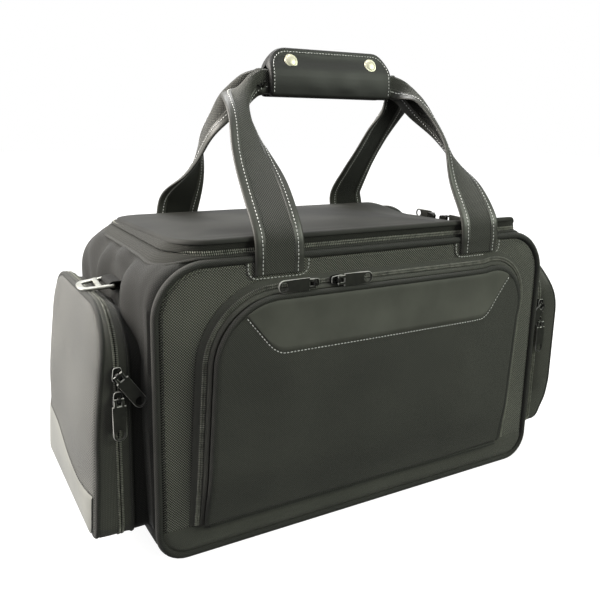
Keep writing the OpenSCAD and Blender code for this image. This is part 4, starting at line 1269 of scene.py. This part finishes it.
# The ring's corners with their radii, its cross bar's place and half length, and the tab's radius round it
RING = [((0.0, -17.0), 2.5), ((28.0, -8.0), 6.0), ((28.0, 8.0), 6.0), ((0.0, 17.0), 2.5)]
CROSS_X, CROSS_Y, TAB_R = 11.0, 13.2, 4.2


def ring_outline():
    """The ring's centre line, with rounded corners, and its outward normals."""
    path = []
    for k, (corner, r) in enumerate(RING):
        before, b, after = (np.array(at) for at in (RING[k - 1][0], corner, RING[(k + 1) % 4][0]))
        start, end = (b + unit(other - b) * r for other in (before, after))
        path += [(1 - t) ** 2 * start + 2 * t * (1 - t) * b + t * t * end for t in np.linspace(0, 1, 7)]
    path = np.array(path)
    ahead = unit(np.roll(path, -1, 0) - np.roll(path, 1, 0))
    return path, grid(ahead[:, 1], -ahead[:, 0])


def flattened(sides, power):
    """Turns round a flattened bar: places across, squared off by a power, and up."""
    turn = np.arange(sides) / sides * math.tau
    return np.sign(np.cos(turn)) * np.abs(np.cos(turn)) ** power, np.sin(turn)


def ring_plate(p, n):
    """Round where the tab holds it, flat and broad elsewhere."""
    broad = step(p[0], 1.0, 8.0)
    across, up = flattened(20, 1 - 0.5 * broad)
    return grid(across * (2.0 + broad) - 0.8 * broad, (2.0 - 0.6 * broad) * up)


def make_ring(side):
    label = ENDS[side]

    def place(a, b, level):
        return side * (RING_X + a), RING_Y + b, RING_Z + level + (0.13 * b - 0.05 * a) * step(a, 1, 9)
    ring = sweep(label + "_strap_ring", *ring_outline(), ring_plate, place, STEEL)
    dress(ring, label + "_ring", [label + "_ring"])
    across, up = flattened(16, 0.5)
    points = grid(*place(CROSS_X + 2.6 * across, np.linspace(-CROSS_Y, CROSS_Y, 9)[:, None], 1.3 * up))
    dress(lattice(label + "_strap_ring_bar", points, STEEL, wrap_v=True, caps=True), label + "_ring")
    turn = np.radians(np.linspace(90, 270, 15))
    run = np.r_[grid(np.linspace(-20, 0, 7)[:-1], TAB_R), TAB_R * grid(-np.cos(turn), np.sin(turn)),
                grid(np.linspace(0, -12, 5)[1:], -TAB_R)]
    x, z, ahead_x, ahead_z = (part[:, None] for part in (*run.T, *unit(np.gradient(run, axis=0)).T))
    points = grid(side * (RING_X + x), RING_Y + np.linspace(-16, 14, 15), RING_Z + z)
    tab = thick(label + "_ring_tab", points, grid(side * ahead_z, 0, -ahead_x), 1.7, WEB)
    dress(tab, "bag", [label + "_tab"])


for side in ENDS:
    make_ring(side)


# Material of the solid that stays in view

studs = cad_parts["snap_studs"].data
studs.materials.clear()
studs.materials.append(STEEL)


# Stage, light and camera

def make_stage():
    s = shader("pale_floor", Roughness=0.9, Emission_Color=(1, 1, 1, 1), Emission_Strength=0.93)
    material = s.finish(s.ramp(s.noise(900.0), grey(0.19, 0.0), grey(0.21, 0.0)))
    reach = np.linspace(-6000, 6000, 9)
    floor = lattice("floor", grid(reach[:, None], reach, 0.0), material)
    floor.visible_diffuse = floor.visible_glossy = False


def area_light(name, place, target, size, power, colour=(1, 1, 1)):
    data = bpy.data.lights.new(name, "AREA")
    data.shape, data.size, data.energy, data.color = "DISK", size, power, colour
    lamp = bpy.data.objects.new(name, data)
    bpy.context.scene.collection.objects.link(lamp)
    lamp.location = place
    lamp.rotation_euler = (Vector(target) - Vector(place)).to_track_quat("-Z", "Y").to_euler()


def make_world():
    """White to look at; as a light, bright from the left, the back and above, and dim from the front."""
    world = bpy.data.worlds.new("studio")
    bpy.context.scene.world = world
    s = Shader(world)
    shown = s.tree.nodes["Background"]
    shown.inputs["Color"].default_value = (1, 1, 1, 1)
    around = s.coordinates("Generated")
    facing = s.node("VectorMath", {"operation": "DOT_PRODUCT"}, around, (-0.5, 0.75, 0.43))
    share = facing.outputs["Value"]
    fade = s.node("MapRange", Value=share, From_Min=-0.5, From_Max=0.8, To_Min=0.1, To_Max=1.2)
    glow = s.node("Background", Color=(1, 1, 1, 1), Strength=fade.outputs["Result"])
    seen = s.node("LightPath").outputs["Is Camera Ray"]
    choice = s.node("MixShader", None, seen, glow.outputs[0], shown.outputs[0])
    s.feed(s.tree.nodes["World Output"].inputs["Surface"], choice.outputs[0])


def make_camera():
    """The photograph's view: angles in degrees, aim and distance in millimetres, lens in pixels."""
    azimuth, elevation, tilt = (math.radians(angle) for angle in (-29.98, 12.47, 1.28))
    aim, distance = np.array([-20.38, 0, 236.72]), 779.84
    focal, rise, picture, sensor = 691.44, 35.0, 600, 36.0
    level = math.cos(elevation)
    back = np.array([math.sin(azimuth) * level, -math.cos(azimuth) * level, math.sin(elevation)])
    right = np.array([math.cos(azimuth), math.sin(azimuth), 0.0])
    up = np.cross(back, right)
    right, up = right * math.cos(tilt) + up * math.sin(tilt), up * math.cos(tilt) - right * math.sin(tilt)
    data = bpy.data.cameras.new("camera")
    data.sensor_width, data.lens, data.shift_y = sensor, focal / picture * sensor, -rise / picture
    camera = bpy.data.objects.new("camera", data)
    axes = np.column_stack([right, up, back, (aim + back * distance) * MM])
    camera.matrix_world = Matrix(np.vstack([axes, [0, 0, 0, 1]]).tolist())
    bpy.context.scene.collection.objects.link(camera)
    bpy.context.scene.camera = camera


make_stage()
area_light("window_light", (-2.0, 0.7, 1.5), (-0.1, 0, 0.2), 1.5, 138, (1.0, 0.945, 0.885))
area_light("top_light", (0.3, 0.8, 2.4), (0, 0, 0.2), 1.6, 50)
area_light("front_fill", (2.1, -2.1, 1.6), (0, 0, 0.2), 2.0, 76, (0.96, 1.04, 0.88))
make_world()
bpy.context.scene.view_settings.view_transform = "Standard"
make_camera()
